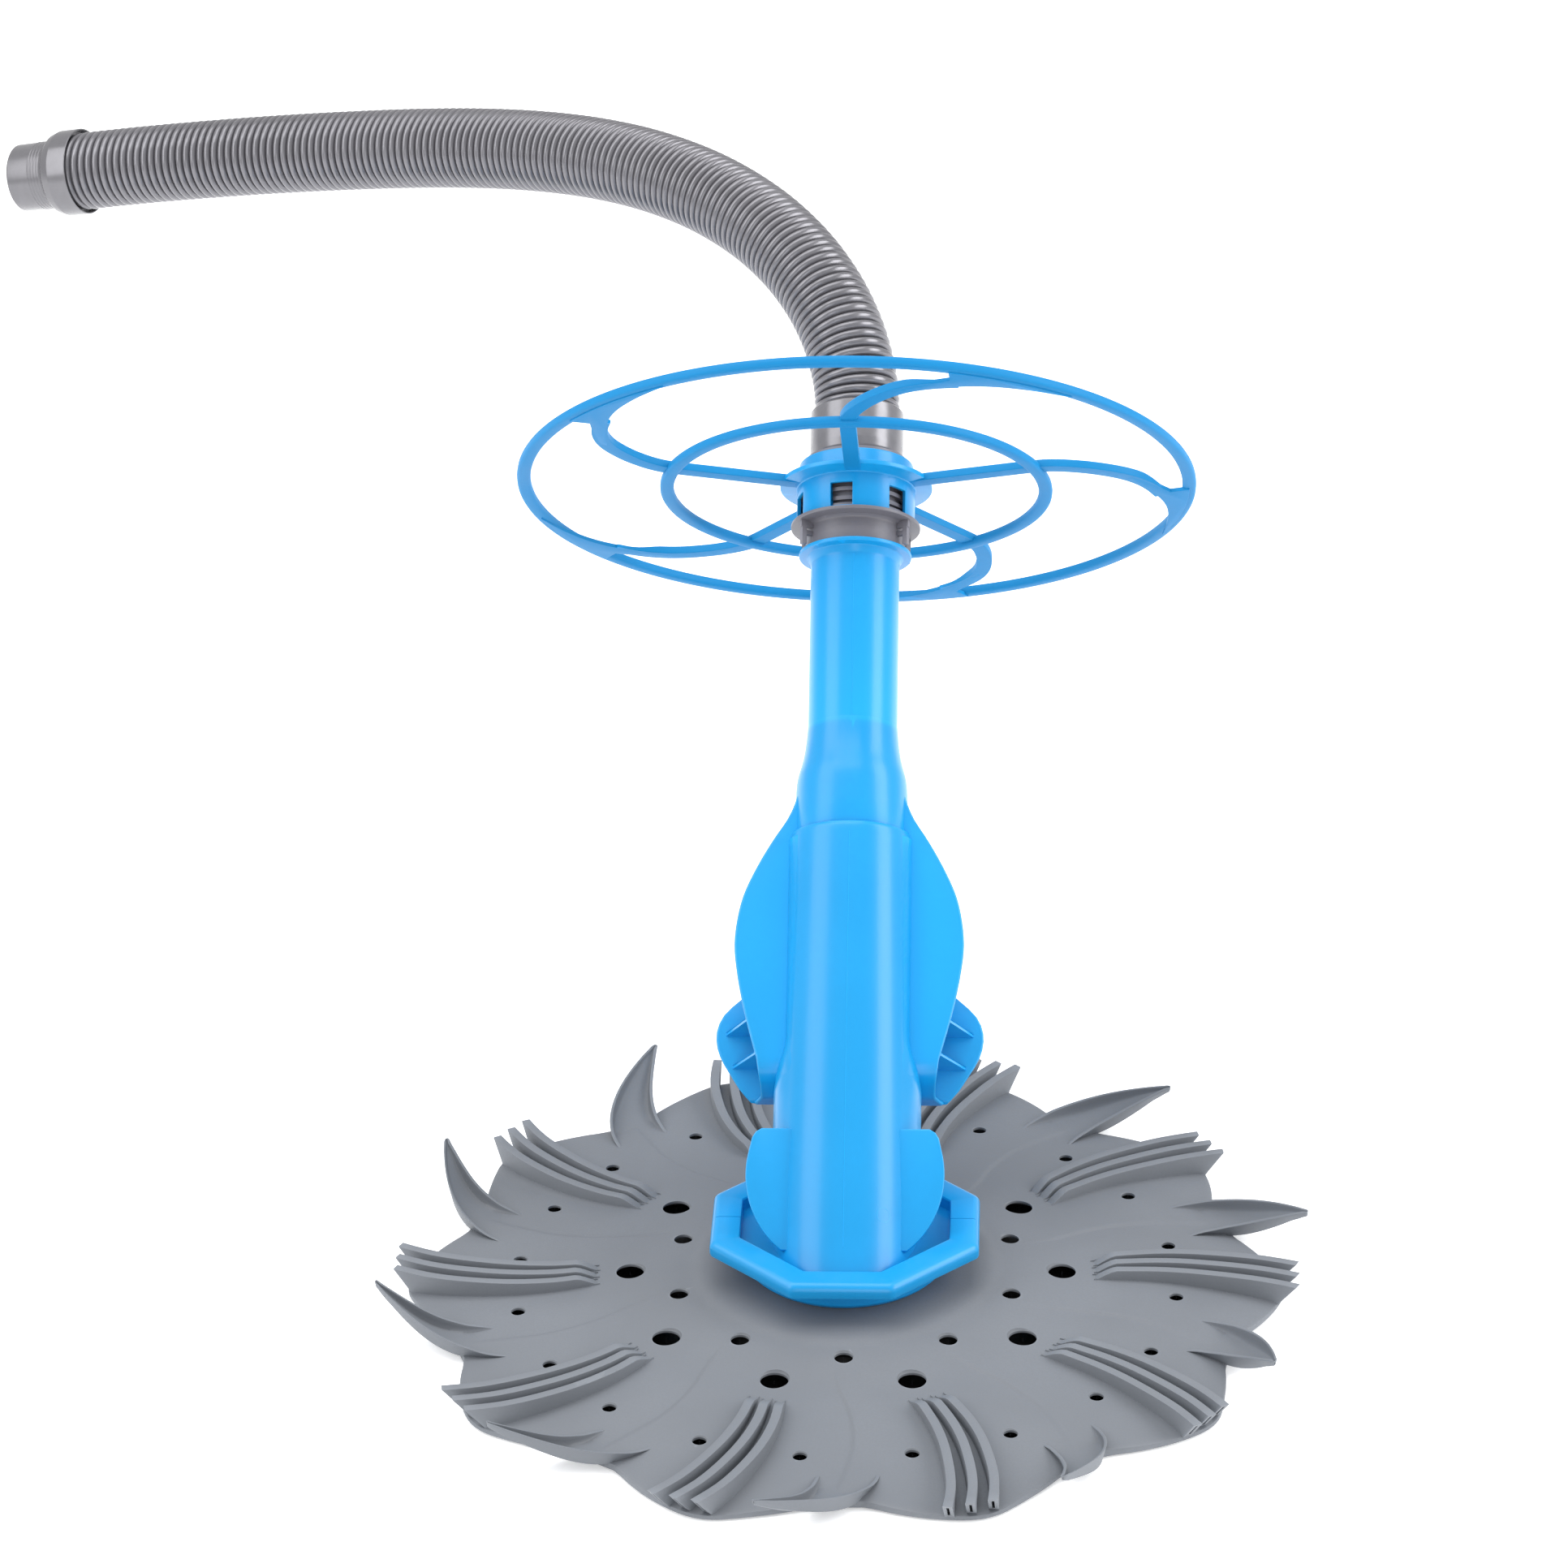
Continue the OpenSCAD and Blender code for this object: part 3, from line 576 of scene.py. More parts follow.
def disc_height(r, angle):
    """Height of the disc's top at a radius and an angle past a sector's line."""
    z = look_up(DISC_TOP, r)
    # The soft step swirls from beside each middle hole out to the finger
    turn = (angle + SECTOR_MIDDLE) % SECTOR - SECTOR_MIDDLE
    past = turn - look_up(SWIRL_LINE, r)
    if past < 0:
        drop = smooth(-past / SWIRL_FACE) * (1 - smooth(-past / SWIRL_FADE))
        z -= look_up(SWIRL_DEPTH, r) * drop
    step = MIDDLE_STEP * (1 - min(1.0, max(0.0, (r - MIDDLE_R) / MIDDLE_FACE)))
    return z + step - MIDDLE_STEP / 2


# A sector's holes: radius on the disc, degrees past the sector's line, the hole's radius.
# Below its lip each is wider.
HOLES = ((106, SECTOR_MIDDLE, 6.8), (85, 0, 4.5), (162.3, -6.9, 3.4), (162.3, 11.7, 3.4))
HOLE_WIDER, HOLE_LIP = 2.5, 1.5
# Shares of the way from bore to edge at which the plate has points
TOP_SHARES = (0, 0.006, *np.linspace(0.03, 0.96, 58), 0.982)
UNDER_SHARES = (0.985, 0.9, 0.75, 0.6, 0.45, 0.3, 0.15, 0)
SECTOR_START, SECTOR_COLUMNS = -12, 90


def disc_sector():
    """One sector of the disc's plate, with its holes, open at its two sides."""
    rings = []
    for j in range(SECTOR_COLUMNS + 1):
        angle = SECTOR_START + SECTOR * j / SECTOR_COLUMNS
        edge = disc_edge(angle)
        top = [(r, disc_height(r, angle))
               for r in (DISC_BORE_R + share * (edge - DISC_BORE_R) for share in TOP_SHARES)]
        rim_z = disc_height(edge, angle)
        rim = [(edge - 0.9, rim_z - 0.05), (edge - 0.3, rim_z - 0.3), (edge, rim_z - 0.9),
               (edge, 1.0), (edge - 0.6, 0.35)]
        under = [(r, look_up(DISC_UNDER, r))
                 for r in (DISC_BORE_R + share * (edge - 46) for share in UNDER_SHARES)]
        rings.append([polar(r, angle, z) for r, z in top + rim + under])
    drills = []
    for r, angle, radius in HOLES:
        z = disc_height(r, angle)
        wide = radius + HOLE_WIDER
        shoulder = z - HOLE_LIP
        profile = [(0.01, -5), (wide, -5), (wide, shoulder), (radius, shoulder), (radius, z - 0.4),
                   (radius + 0.6, z + 0.35), (radius + 3, z + 5), (0.01, z + 5)]
        place = Matrix.Translation(polar(r, angle, 0))
        drills.append(turned(lathe(profile, 40), place))
    points, faces = cut(loft(rings), drills)
    # The sector's two side walls go, so that the ten sectors join into one plate
    normals = [Vector((-sin(radians(side)), cos(radians(side)), 0))
               for side in (SECTOR_START, SECTOR_START + SECTOR)]

    def in_wall(face):
        return any(all(abs(normal.dot(Vector(points[i]))) < 0.002 for i in face)
                   for normal in normals)

    return points, [face for face in faces if not in_wall(face)]


# By radius: the middle rib's centre line in degrees past its sector's middle, the degrees
# to the next rib, and the height of a rib's top
RIB_LINE = [
    (118, 0.6), (122, 1.0), (131, 1.6), (143, 2.05), (155, 2.05), (168, 1.65), (180, 1.0),
    (192, 0.25), (205, -0.75), (213, -1.55), (221, -2.4), (224, -2.75)]
RIB_GAP = [(118, 3.05), (131, 3.15), (160, 3.2), (190, 3.05), (221, 2.8)]
RIB_TOP = [
    (121.5, 9.0), (124, 10.4), (127.5, 12.2), (130.6, 13.5), (140, 13.6), (160, 13.5), (180, 13.4),
    (205, 13.6), (221, 14.1)]
RIB_W, RIB_ROUND = 4.6, 0.4
RIB_START, RIB_FOOT_END, RIB_TOP_END = 121.2, 211.5, 221.3
RIB_SHARES = (0, 0.004, 0.02, 0.04, 0.065, 0.09, 0.115, *np.linspace(0.16, 0.985, 17), 1)
# The slot in a rib's outer end: its floor over the rib's foot, how much less tall than the
# rib it is, half its width, and how far it runs in
SLOT_FLOOR, SLOT_LESS, SLOT_HALF, SLOT_RUN = 3.4, 4.9, 0.65, 9


def rib(side):
    """One of a group's three raised walls: sloped at its inner end, and hollow at its
    outer end, where it leans out past the plate's edge."""
    half = RIB_W / 2
    soft = RIB_ROUND

    def centre(r):
        turn = radians(look_up(RIB_LINE, r) + side * look_up(RIB_GAP, r))
        return Vector((r * cos(turn), r * sin(turn)))

    loops = []
    for share in RIB_SHARES:
        r_low = RIB_START + share * (RIB_FOOT_END - RIB_START)
        r_high = RIB_START + share * (RIB_TOP_END - RIB_START)
        base = look_up(DISC_TOP, r_low) - 2.0
        top = look_up(RIB_TOP, r_high)
        loop = []
        for offset, z in ((-half - 0.3, base), (-half, base + 2.4), (-half, top - soft),
                          (-half + soft * 0.3, top - soft * 0.3), (-half + soft, top),
                          (half - soft, top), (half - soft * 0.3, top - soft * 0.3),
                          (half, top - soft), (half, base + 2.4), (half + 0.3, base)):
            lift = (z - base) / (top - base)
            r = r_low + lift * (r_high - r_low)
            middle = centre(r)
            ahead = (centre(r + 0.5) - centre(r - 0.5)).normalized()
            p = middle + Vector((-ahead.y, ahead.x)) * offset
            loop.append((p.x, p.y, z))
        loops.append(loop)
    # The slot: the end face steps in, then runs back into the rib
    end = [Vector(p) for p in loops[-1]]
    low, high = end[0], end[4]
    ahead = (centre(217) - centre(215)).normalized()
    across = Vector((-ahead.y, ahead.x, 0))
    ahead = Vector((ahead.x, ahead.y, 0))
    middle = sum(end, Vector()) / len(end)
    mouth = []
    for p in end:
        share = (p.z - low.z) / (high.z - low.z)
        z_new = low.z + SLOT_FLOOR + share * (high.z - low.z - SLOT_LESS)
        lean = (z_new - middle.z) / (high.z - low.z) * (high - low).dot(ahead)
        side_step = SLOT_HALF if (p - middle).dot(across) > 0 else -SLOT_HALF
        flat = Vector((middle.x, middle.y, 0))
        mouth.append(flat + across * side_step + ahead * lean + Vector((0, 0, z_new)))
    deep = [p - ahead * SLOT_RUN for p in mouth]
    return spun(loft([*loops, mouth, deep]), SECTOR_MIDDLE)


# Top edges of a finger's two lips, from where they leave the plate to the shared tip, as
# X, Y and Z from a sector's line
LIP_A = [
    (171, -11.2, 4.9), (176.5, -11.9, 5.4), (182.5, -12.8, 6.7), (188.4, -14.3, 7.8),
    (193.6, -16.2, 9.3), (198.6, -18.5, 10.8), (203.2, -21.1, 12.6), (207.6, -24, 14.6),
    (211.8, -27.2, 16.8), (215.8, -30.5, 19), (219.6, -33.8, 21.2), (223.2, -37, 23.3),
    (225.2, -38.9, 24.6)]
LIP_B = [
    (170.5, 18.6, 5.2), (176.6, 17.9, 5.9), (182.4, 16.8, 6.8), (188, 14.8, 8.0),
    (193.6, 11.9, 9.7), (199, 8.2, 11.2), (204, 3.8, 12.9), (208.8, -1.4, 14.8),
    (213.2, -7.3, 16.8), (217.2, -13.9, 18.9), (221, -21.2, 21), (224.6, -29.2, 23.1),
    (227.2, -35.8, 24.7)]
# Share of the way along a finger, and height of its lips over its floor
LIP_RISE = [
    (0, 0.0), (0.08, 0.5), (0.17, 1.8), (0.27, 3.4), (0.38, 4.9), (0.5, 5.7), (0.62, 5.5),
    (0.75, 4.4), (0.87, 2.8), (1.0, 1.0)]
LIP_W = 1.9
# The tip's closing sections: how far ahead, and the share of the width they keep
TIP_SECTIONS = ((0.7, 0.93), (1.3, 0.75), (1.7, 0.5), (1.9, 0.22))
# The hollow between a lip and the floor: shares of the way across and down
COVE = ((0.12, 0.45), (0.32, 0.78), (0.62, 0.95))
# Where along a finger its floor starts to leave the plate, and over what share
FREE_FROM, FREE_OVER = 0.08, 0.32
PLATE_THICK = 2.1


def finger():
    """A pointed scoop: a floor that rises to the tip between two thin curved lips."""
    a_line = curve_through(LIP_A, 3)
    b_line = curve_through(LIP_B, 3)
    count = len(a_line)
    sections = []
    for i, (a, b) in enumerate(zip(a_line, b_line)):
        t = i / (count - 1)
        sections.append((Vector(a), Vector(b), max(0.0, look_up(LIP_RISE, t)), t))
    # The tip is closed by sections that draw in to a blunt point
    a, b, rise, _ = sections[-1]
    middle = (a + b) / 2
    ahead = (middle - (sections[-3][0] + sections[-3][1]) / 2).normalized()
    for reach, keep in TIP_SECTIONS:
        ends = [middle + (p - middle) * keep + ahead * reach for p in (a, b)]
        sections.append((*ends, rise * keep, 1.0))
    loops = []
    for a, b, rise, t in sections:
        span = (b - a).length
        across = (b - a).normalized()
        wall = min(LIP_W, 0.36 * span)
        cove = min(wall + 0.3 + 0.3 * rise, 0.45 * span)
        free = smooth((t - FREE_FROM) / FREE_OVER)
        low_a, low_b = a.z - rise, b.z - rise
        ground_a = look_up(DISC_TOP, min(228, hypot(a.x, a.y)))
        sink = 0.35 * max(0.0, 1 - t / 0.12)
        under = min(PLATE_THICK, 1.4 + rise)
        soft = min(0.35, 0.3 * wall)
        shave = soft * 0.3

        def spot(from_a, z):
            p = a + across * from_a
            return (p.x, p.y, z)

        floor = []
        for k in range(9):
            share = k / 8
            w = cove + (span - 2 * cove) * share
            z = low_a + (low_b - low_a) * (w / span) - sink
            x, y, _ = spot(w, z)
            ground = disc_height(hypot(x, y), degrees(atan2(y, x))) - 0.3
            floor.append((x, y, (1 - free) * ground + free * z))
        bottom_a, bottom_b = low_a - under, low_b - under
        if t < 0.4:
            bottom_a = min(bottom_a, max(ground_a - 3.0, low_a - PLATE_THICK))
            bottom_b = min(bottom_b, low_b - PLATE_THICK)
        lean = min(2.4, 0.22 * span)
        # Round the section: lip a, its cove, the floor, lip b and its cove, the underside
        inner_a, inner_b = ((p.z - soft - sink if rise > soft else p.z - sink - rise * 0.5)
                            for p in (a, b))
        far = span - wall
        loop = [spot(lean, bottom_a + 0.4), spot(0, a.z - soft), spot(shave, a.z - shave - sink),
                spot(soft, a.z - sink), spot(wall - soft, a.z - sink),
                spot(wall - shave, a.z - shave - sink), spot(wall, inner_a),
                *(spot(wall + (cove - wall) * over, a.z - rise * down - sink)
                  for over, down in COVE),
                *floor,
                *(spot(far - (cove - wall) * over, b.z - rise * down - sink)
                  for over, down in COVE[::-1]),
                spot(far, inner_b), spot(far + shave, b.z - shave - sink),
                spot(far + soft, b.z - sink), spot(span - soft, b.z - sink),
                spot(span - shave, b.z - shave - sink), spot(span, b.z - soft),
                spot(span - lean, bottom_b + 0.4), spot(span - lean - 0.4, bottom_b),
                spot(span * 0.5, (bottom_a + bottom_b) / 2), spot(lean + 0.4, bottom_a)]
        loops.append(loop)
    return loft(loops)


def make_disc():
    """The rubber disc: ten times its sector, with three ribs and a finger on each."""
    ribs = weld([rib(side) for side in (-1, 0, 1)])
    shape = weld([around(part, LOBES) for part in (disc_sector(), ribs, finger())])
    make("disc_rubber_plate", shape, DISC, DISC_GRAY, "disc", ["finned_disc"],
         sharp=38, weld_at=2e-6)


make_disc()


# -------------------------------------------------------------------- foot
FOOT_FROM_BODY = Matrix.Scale(1 / MM, 4) @ BODY
FLANGE_TOP = 31
BUMPER_EDGE = [
    (65.5, 27), (27, 65.5), (-27, 65.5), (-65.5, 27), (-65.5, -22), (-24.5, -62), (24.5, -62),
    (65.5, -22)]
BUMPER_LOW, BUMPER_HIGH, BUMPER_ROUND = 31.2, 39.0, 3.8
BUMPER_W, BUMPER_BORE_R = 14.6, 36.45


def octagon(reach, corner):
    """The bumper's octagon moved in by reach, with rounded corners."""
    return fillet(inset(BUMPER_EDGE, reach), corner, 5)


def make_bumper():
    """The octagonal ring round the body's foot, with a well rounded upper edge."""
    low, high = BUMPER_LOW, BUMPER_HIGH
    rows = [(1.2, low, 4), (0.4, low + 0.4, 4.4), (0, low + 1.2, 5)]
    for a in (pi / 2 * k / 6 for k in range(7)):
        rows.append((BUMPER_ROUND * (1 - cos(a)), high - BUMPER_ROUND * (1 - sin(a)), 5))
    rows += [(reach, z, 2.4) for reach, z in (
        (BUMPER_W - 1.2, high), (BUMPER_W - 0.5, high - 0.2), (BUMPER_W, high - 0.9),
        (BUMPER_W, 33.4), (BUMPER_W + 0.2, 32.8), (BUMPER_W + 0.9, 32.6))]
    ring = loft([[(x, y, z) for x, y in octagon(reach, corner)] for reach, z, corner in rows])
    # A fine seam crosses the ring's top on each side
    seams = [block((side * 60 - 12, 3.2, 38.45), (side * 60 + 12, 3.6, 42)) for side in (-1, 1)]
    body_void = lathe([(0.01, -120), (BUMPER_BORE_R, -120), (BUMPER_BORE_R, 120), (0.01, 120)], 96)
    shape = cut(ring, [*seams, turned(body_void, FOOT_FROM_BODY)])
    make("bumper_moulding", shape, FOOT, BLUE, "body", ["bumper_ring"])


def make_flange():
    profile = fillet([(33, 18), (47.5, 18), (50, 20.5), (50, FLANGE_TOP), (33, FLANGE_TOP)],
                     [1, 1.5, 1.5, 0.4, 0.4], 4)
    make("foot_flange_moulding", lathe(profile, 128), FOOT, LIT_FLANGE_BLUE, "body",
         ["foot_flange"])


def make_pad():
    """The rubber pad under the foot, with slots that let water in from all sides."""
    profile = fillet([(34, 0), (78.5, 0), (80, 1.5), (80, 6.5), (77, 9), (34, 9)],
                     [0.8, 1, 1, 1.5, 1.2, 0.4], 4)
    slots = [spun(block((47, -3.5, -2), (90, 3.5, 3)), 15 + 30 * i) for i in range(12)]
    shape = cut(lathe(profile), slots, bevel=0.5)
    make("foot_pad_rubber", shape, FOOT, BLACK, "body", ["foot_pad"])


make_bumper()
make_flange()
make_pad()


# -------------------------------------------------------------------- body
BODY_R, SHOULDER_R = 36.4, 30.8
BODY_TOP = 231
# The body's outside at its sides: distance along the axis and radius
BODY_EDGE = [
    (-40, BODY_R), (60, BODY_R), (90, BODY_R), (98, BODY_R), (102, 36.1), (106, 35.4), (111, 33.9),
    (116, 32.3), (120, 31.4), (124, 30.95), (130, SHOULDER_R), (160, SHOULDER_R), (200, SHOULDER_R),
    (226, SHOULDER_R)]
# The front's even taper: by how much, from where along the axis, and over what length
FRONT_TAPER, TAPER_FROM, TAPER_OVER = 5.6, 40, 190
# Degrees from the front where it starts to turn into the shoulder, and over which
SIDE_FROM, SIDE_OVER = 52, 22


def body_r(at):
    """Radius of the body's sides, which have a shoulder."""
    return look_up(BODY_EDGE, at)


def front_r(at):
    """Radius of the body's front, which has no shoulder."""
    return BODY_R - FRONT_TAPER * min(1.0, max(0.0, (at - TAPER_FROM) / TAPER_OVER))


def shell_r(at, angle):
    """Radius of the body at a turn from +X: tapered in front, shouldered at the sides."""
    from_front = abs((angle + 90 + 180) % 360 - 180)
    side = smooth((from_front - SIDE_FROM) / SIDE_OVER)
    return front_r(at) * (1 - side) + body_r(at) * side


# A foot fin lies in a plane this far in front of the axis, and its outer edge is an arc
FIN_DEPTH, FIN_HALF_THICK = 22.5, 1.2
FIN_LOW, FIN_HIGH, FIN_ROOT = 14, 75, 24.5
FIN_ARC_R, FIN_ARC_AT = 49.5, 52


def fin_outline(side):
    """A foot fin in its own plane: across, and along the body's axis."""
    arc = [(-1 + sqrt(FIN_ARC_R ** 2 - (FIN_ARC_AT - at) ** 2), at)
           for at in np.linspace(FIN_LOW, 64, 22)]
    corner = [(46.4, 66.8), (45.6, 70.4), (43.8, 73.3), (41, FIN_HIGH)]
    outline = [(FIN_ROOT, FIN_LOW), *arc, *corner, (FIN_ROOT, FIN_HIGH)]
    if side < 0:
        outline = [(-x, at) for x, at in outline[::-1]]
    return outline


def upright(shape, depth):
    """Lays a shape drawn flat as across and along into a plane in front of the axis."""
    points, faces = shape
    return [(x, -depth - z, y) for x, y, z in points], faces


def parting_line(radius_at, places, half, height):
    """The fine ridge that the mould's halves left, up the middle of a tube's front."""
    ridge = ((-half, -0.3), (-0.1, height), (0.1, height), (half, -0.3))
    return loft([[(x, -sqrt((radius_at(at) + lift) ** 2 - x * x), at) for x, lift in ridge]
                 for at in places])


# The body's wall, up its outside, over the lip and down the inside
OUTSIDE_AT = [-40, 0, 30, 40, 60, 90, *range(97, 131), 160, 200, 226]
BODY_LIP = [(SHOULDER_R, 228.2), (30.55, 229.6), (29.9, 230.6), (29, BODY_TOP)]
BODY_INSIDE = [(22.7, BODY_TOP), (22.7, 226), (28.1, 225), (28.1, 119), (33.7, 98), (33.7, -40)]
BODY_COLUMNS = 160
MARK_ANGLE, MARK_AT, MARK_R = radians(-58), 30, 3.6


def ejector_mark():
    """The round mark that the mould's ejector pin left, low on the body's front right."""
    mark = []
    for a in circle(40):
        ring = []
        for offset, lift in ((-0.22, -0.3), (-0.16, 0.07), (0.16, 0.07), (0.22, -0.3)):
            turn = MARK_ANGLE + (MARK_R + offset) * cos(a) / BODY_R
            r = BODY_R + lift
            ring.append((r * cos(turn), r * sin(turn), MARK_AT + (MARK_R + offset) * sin(a)))
        mark.append(ring)
    return loft(mark, ring=True)


def make_body():
    """The body tube, cut off level at the flange, with its two foot fins."""
    loops = []
    for turn in (360 * j / BODY_COLUMNS for j in range(BODY_COLUMNS)):
        profile = [(shell_r(at, turn), at) for at in OUTSIDE_AT] + BODY_LIP + BODY_INSIDE
        loops.append([polar(r, turn, at) for r, at in profile])
    below = turned(block((-90, -120, -140), (90, 160, FLANGE_TOP)), FOOT_FROM_BODY.inverted())
    tube = cut(loft(loops, ring=True), [below])
    fins = [upright(plate(fin_outline(side), -FIN_HALF_THICK, FIN_HALF_THICK, 0.7), FIN_DEPTH)
            for side in (-1, 1)]
    line = parting_line(front_r, (13, 26, 40, 70, 100, 130, 160, 195, 225), 0.35, 0.09)
    shape = weld([tube, *fins, ejector_mark(), line])
    make("body_moulding", shape, BODY, BLUE, "body", ["body_shell"])


# Outer edge of a wing and of the ear behind it: distance along the axis, reach
WING_EDGE = [
    (98.7, 44.0), (104, 42.7), (108, 43.2), (112, 44.4), (126, 48.4), (141, 52.2), (156, 55.2),
    (173, 57), (186, 55.8), (198, 53), (211, 47.4), (228, 38), (238, 31.6), (247, 27.8),
    (257, 25.4), (267, 23)]
EAR_EDGE = [
    (98.7, 47.0), (101, 49.6), (104, 52.6), (109, 56.2), (114, 59.3), (122.5, 64.3), (130, 66.6),
    (138, 66.3), (145.5, 62.8), (152.5, 55.5), (160, 46), (166, 34)]
# The wing's and the ear's distance behind the body's axis, and the shelf's along it
WING_Y, EAR_Y, SHELF_AT = -8, 25, 99.9
WING_THICK, GUSSET_THICK = 2.4, 1.8
# The gussets that tie the ear to the back of the wing: place along the axis, and reach
GUSSETS = ((134, 61.5), (117, 58))
SADDLE_AT = (*np.linspace(101, 128, 14), 150, 180, 205, 222, 227)


def wing_spine():
    """The middle line of a wing's plate, seen from its side, in steps of about 4 mm."""
    bends = round_path([(WING_Y, 266), (WING_Y, 107), (10, SHELF_AT), (EAR_Y, SHELF_AT),
                        (EAR_Y, 166)], [13, 16, 2.6], 9)
    dense = [bends[0]]
    for y, at in bends[1:]:
        last_y, last_at = dense[-1]
        parts = max(1, int(hypot(y - last_y, at - last_at) / 4))
        dense += [(last_y + (y - last_y) * k / parts, last_at + (at - last_at) * k / parts)
                  for k in range(1, parts + 1)]
    return dense


def root_reach(y, at, reach):
    """How far out a wing's plate starts: inside the body's, collar's or pipe's wall."""
    wall_r = body_r(at) - 1.2 if at < 226 else 26.8 if at < 255 else 23.5
    return min(sqrt(max(wall_r ** 2 - y * y, 12 ** 2)), reach - 3.2)


def wing_plate(side):
    """The wing's plate, which curls back at its foot and turns up into the ear."""
    spine = wing_spine()
    steps = [hypot(q[0] - p[0], q[1] - p[1]) for p, q in zip(spine, spine[1:])]
    runs = np.concatenate([[0], np.cumsum(steps)])
    turn_in = next(i for i, p in enumerate(spine) if p[0] > WING_Y + 0.1)
    turn_up = next(i for i, p in enumerate(spine) if p[0] > EAR_Y - 0.6)
    first = look_up(WING_EDGE, spine[turn_in][1])
    shelf_edge = [(0, first), (0.3, first - 1.4), (0.65, 43.4), (1.0, 47.2)]
    half = WING_THICK / 2
    loops = []
    for i, (y, at) in enumerate(spine):
        p, q = spine[max(i - 1, 0)], spine[min(i + 1, len(spine) - 1)]
        ahead = Vector((q[0] - p[0], q[1] - p[1])).normalized()
        normal = Vector((-ahead.y, ahead.x))
        if i < turn_in:
            reach = look_up(WING_EDGE, at)
        elif i < turn_up:
            along = (runs[i] - runs[turn_in]) / (runs[turn_up] - runs[turn_in])
            reach = look_up(shelf_edge, along)
        else:
            reach = look_up(EAR_EDGE, at)
        root = root_reach(y, at, reach)
        section = [(root, -half), (reach - half, -half),
                   *((reach - half + half * sin(a), -half * cos(a))
                     for a in (pi * k / 6 for k in range(1, 6))),
                   (reach - half, half), (root, half)]
        loops.append([(side * x, y + normal.x * off, at + normal.y * off) for x, off in section])
    return loft(loops)


def gusset(side, at, reach):
    front, back = WING_Y + 0.6, EAR_Y - 0.6
    outline = [(side * x, y) for x, y in (
        (34, back), (30, front), (look_up(WING_EDGE, at) - 1.6, front), (reach, back))]
    if side < 0:
        outline.reverse()
    return plate(outline[::-1], at, at + GUSSET_THICK, 0.5)


def saddle(side):
    """A low pad that hugs the body's side and carries the wing."""
    rings = []
    for at in SADDLE_AT:
        front = 38 + 8 * (1 - smooth((at - 100) / 27))
        angles = [-front + (front + 52) * k / 16 for k in range(17)]
        rows = []
        for angle in angles:
            lift = 1.5 * smooth((angle + front) / 16) * smooth((at - 99) / 14)
            rows.append((shell_r(at, angle) - 0.4 + lift, angle))
        rows += [(shell_r(at, angle) - 1.4, angle) for angle in angles[::-1]]
        rings.append([(side * r * cos(radians(angle)), r * sin(radians(angle)), at)
                      for r, angle in rows])
    return loft(rings)


def make_wing(side, name, node):
    """A leaf-shaped wing with the ear behind it, two gussets and the saddle."""
    shape = weld([wing_plate(side), *(gusset(side, *row) for row in GUSSETS), saddle(side)])
    make(name, shape, BODY, BLUE, "body", [node])


COLLAR = [
    (22.6, BODY_TOP), (28.1, BODY_TOP), (28.3, 231.4), (28.25, 244), (28.0, 253), (27.7, 257.5),
    (27.2, 261), (26.4, 264), (25.5, 267.2), (24.6, 271), (23.85, 275.4), (23.3, 280),
    (22.9, 284.5), (22.62, 288), (22.6, 288)]


def make_collar():
    make("body_collar_moulding", lathe(COLLAR), BODY, BLUE, "body",
         ["body_collar"])


PIPE_R, PIPE_BORE_R, PIPE_FLANGE_R = 22.5, 19.9, 28.6


def make_pipe():
    """The extension pipe, with a thin bright flange at its top and a parting line."""
    profile = fillet([(PIPE_BORE_R, 240), (PIPE_R, 240), (PIPE_R, 374.6), (24.2, 378.6),
                      (PIPE_FLANGE_R, 378.9), (PIPE_FLANGE_R, 381), (PIPE_BORE_R, 381)],
                     [0, 0, 3.5, 1.2, 0.7, 0.7, 0], 5)
    line = parting_line(lambda at: PIPE_R, (288, 330, 374), 0.3, 0.07)
    make("extension_pipe_moulding", weld([lathe(profile), line]), BODY, BLUE, "body",
         ["outer_pipe"])


make_body()
make_wing(-1, "left_wing_moulding", "left_wing")
make_wing(1, "right_wing_moulding", "right_wing")
make_collar()
make_pipe()


# -------------------------------------------------------------------- head
NUT = [(23.9, 381.4), (25.7, 381.4), (25.2, 388), (25.2, 392.8), (27, 394), (32.9, 394.4),
       (32.9, 396.3), (20.4, 396.3), (20.4, 384.6), (23.9, 384.6)]
NUT_ROUND = [0.3, 0.6, 2, 1.2, 1.4, 0.5, 0.6, 0.4, 0.2, 0.2]
# A gusset's three plates: inner and outer radius, half width, bottom, top and rounding
NUT_PLATES = (
    (28.6, 31.2, 1.3, 381.4, 394.6, 0.35), (24.9, 29, 1, 386.4, 389, 0.3),
    (24.9, 31.6, 1, 390.5, 394.6, 0.3))
NUT_TURNS = (30, 150, 210, 330)


def make_nut():
    """The gray nut under the wheel: a ring, a thin flange, and gussets with posts."""
    ring = lathe(fillet(NUT, NUT_ROUND, 4), 128)
    fitting = weld([plate([(near, -half), (far, -half), (far, half), (near, half)], low, high, edge)
                    for near, far, half, low, high, edge in NUT_PLATES])
    shape = weld([ring, *(spun(fitting, turn) for turn in NUT_TURNS)])
    make("hand_nut_moulding", shape, BODY, GRAY, "nut", ["hand_nut"])


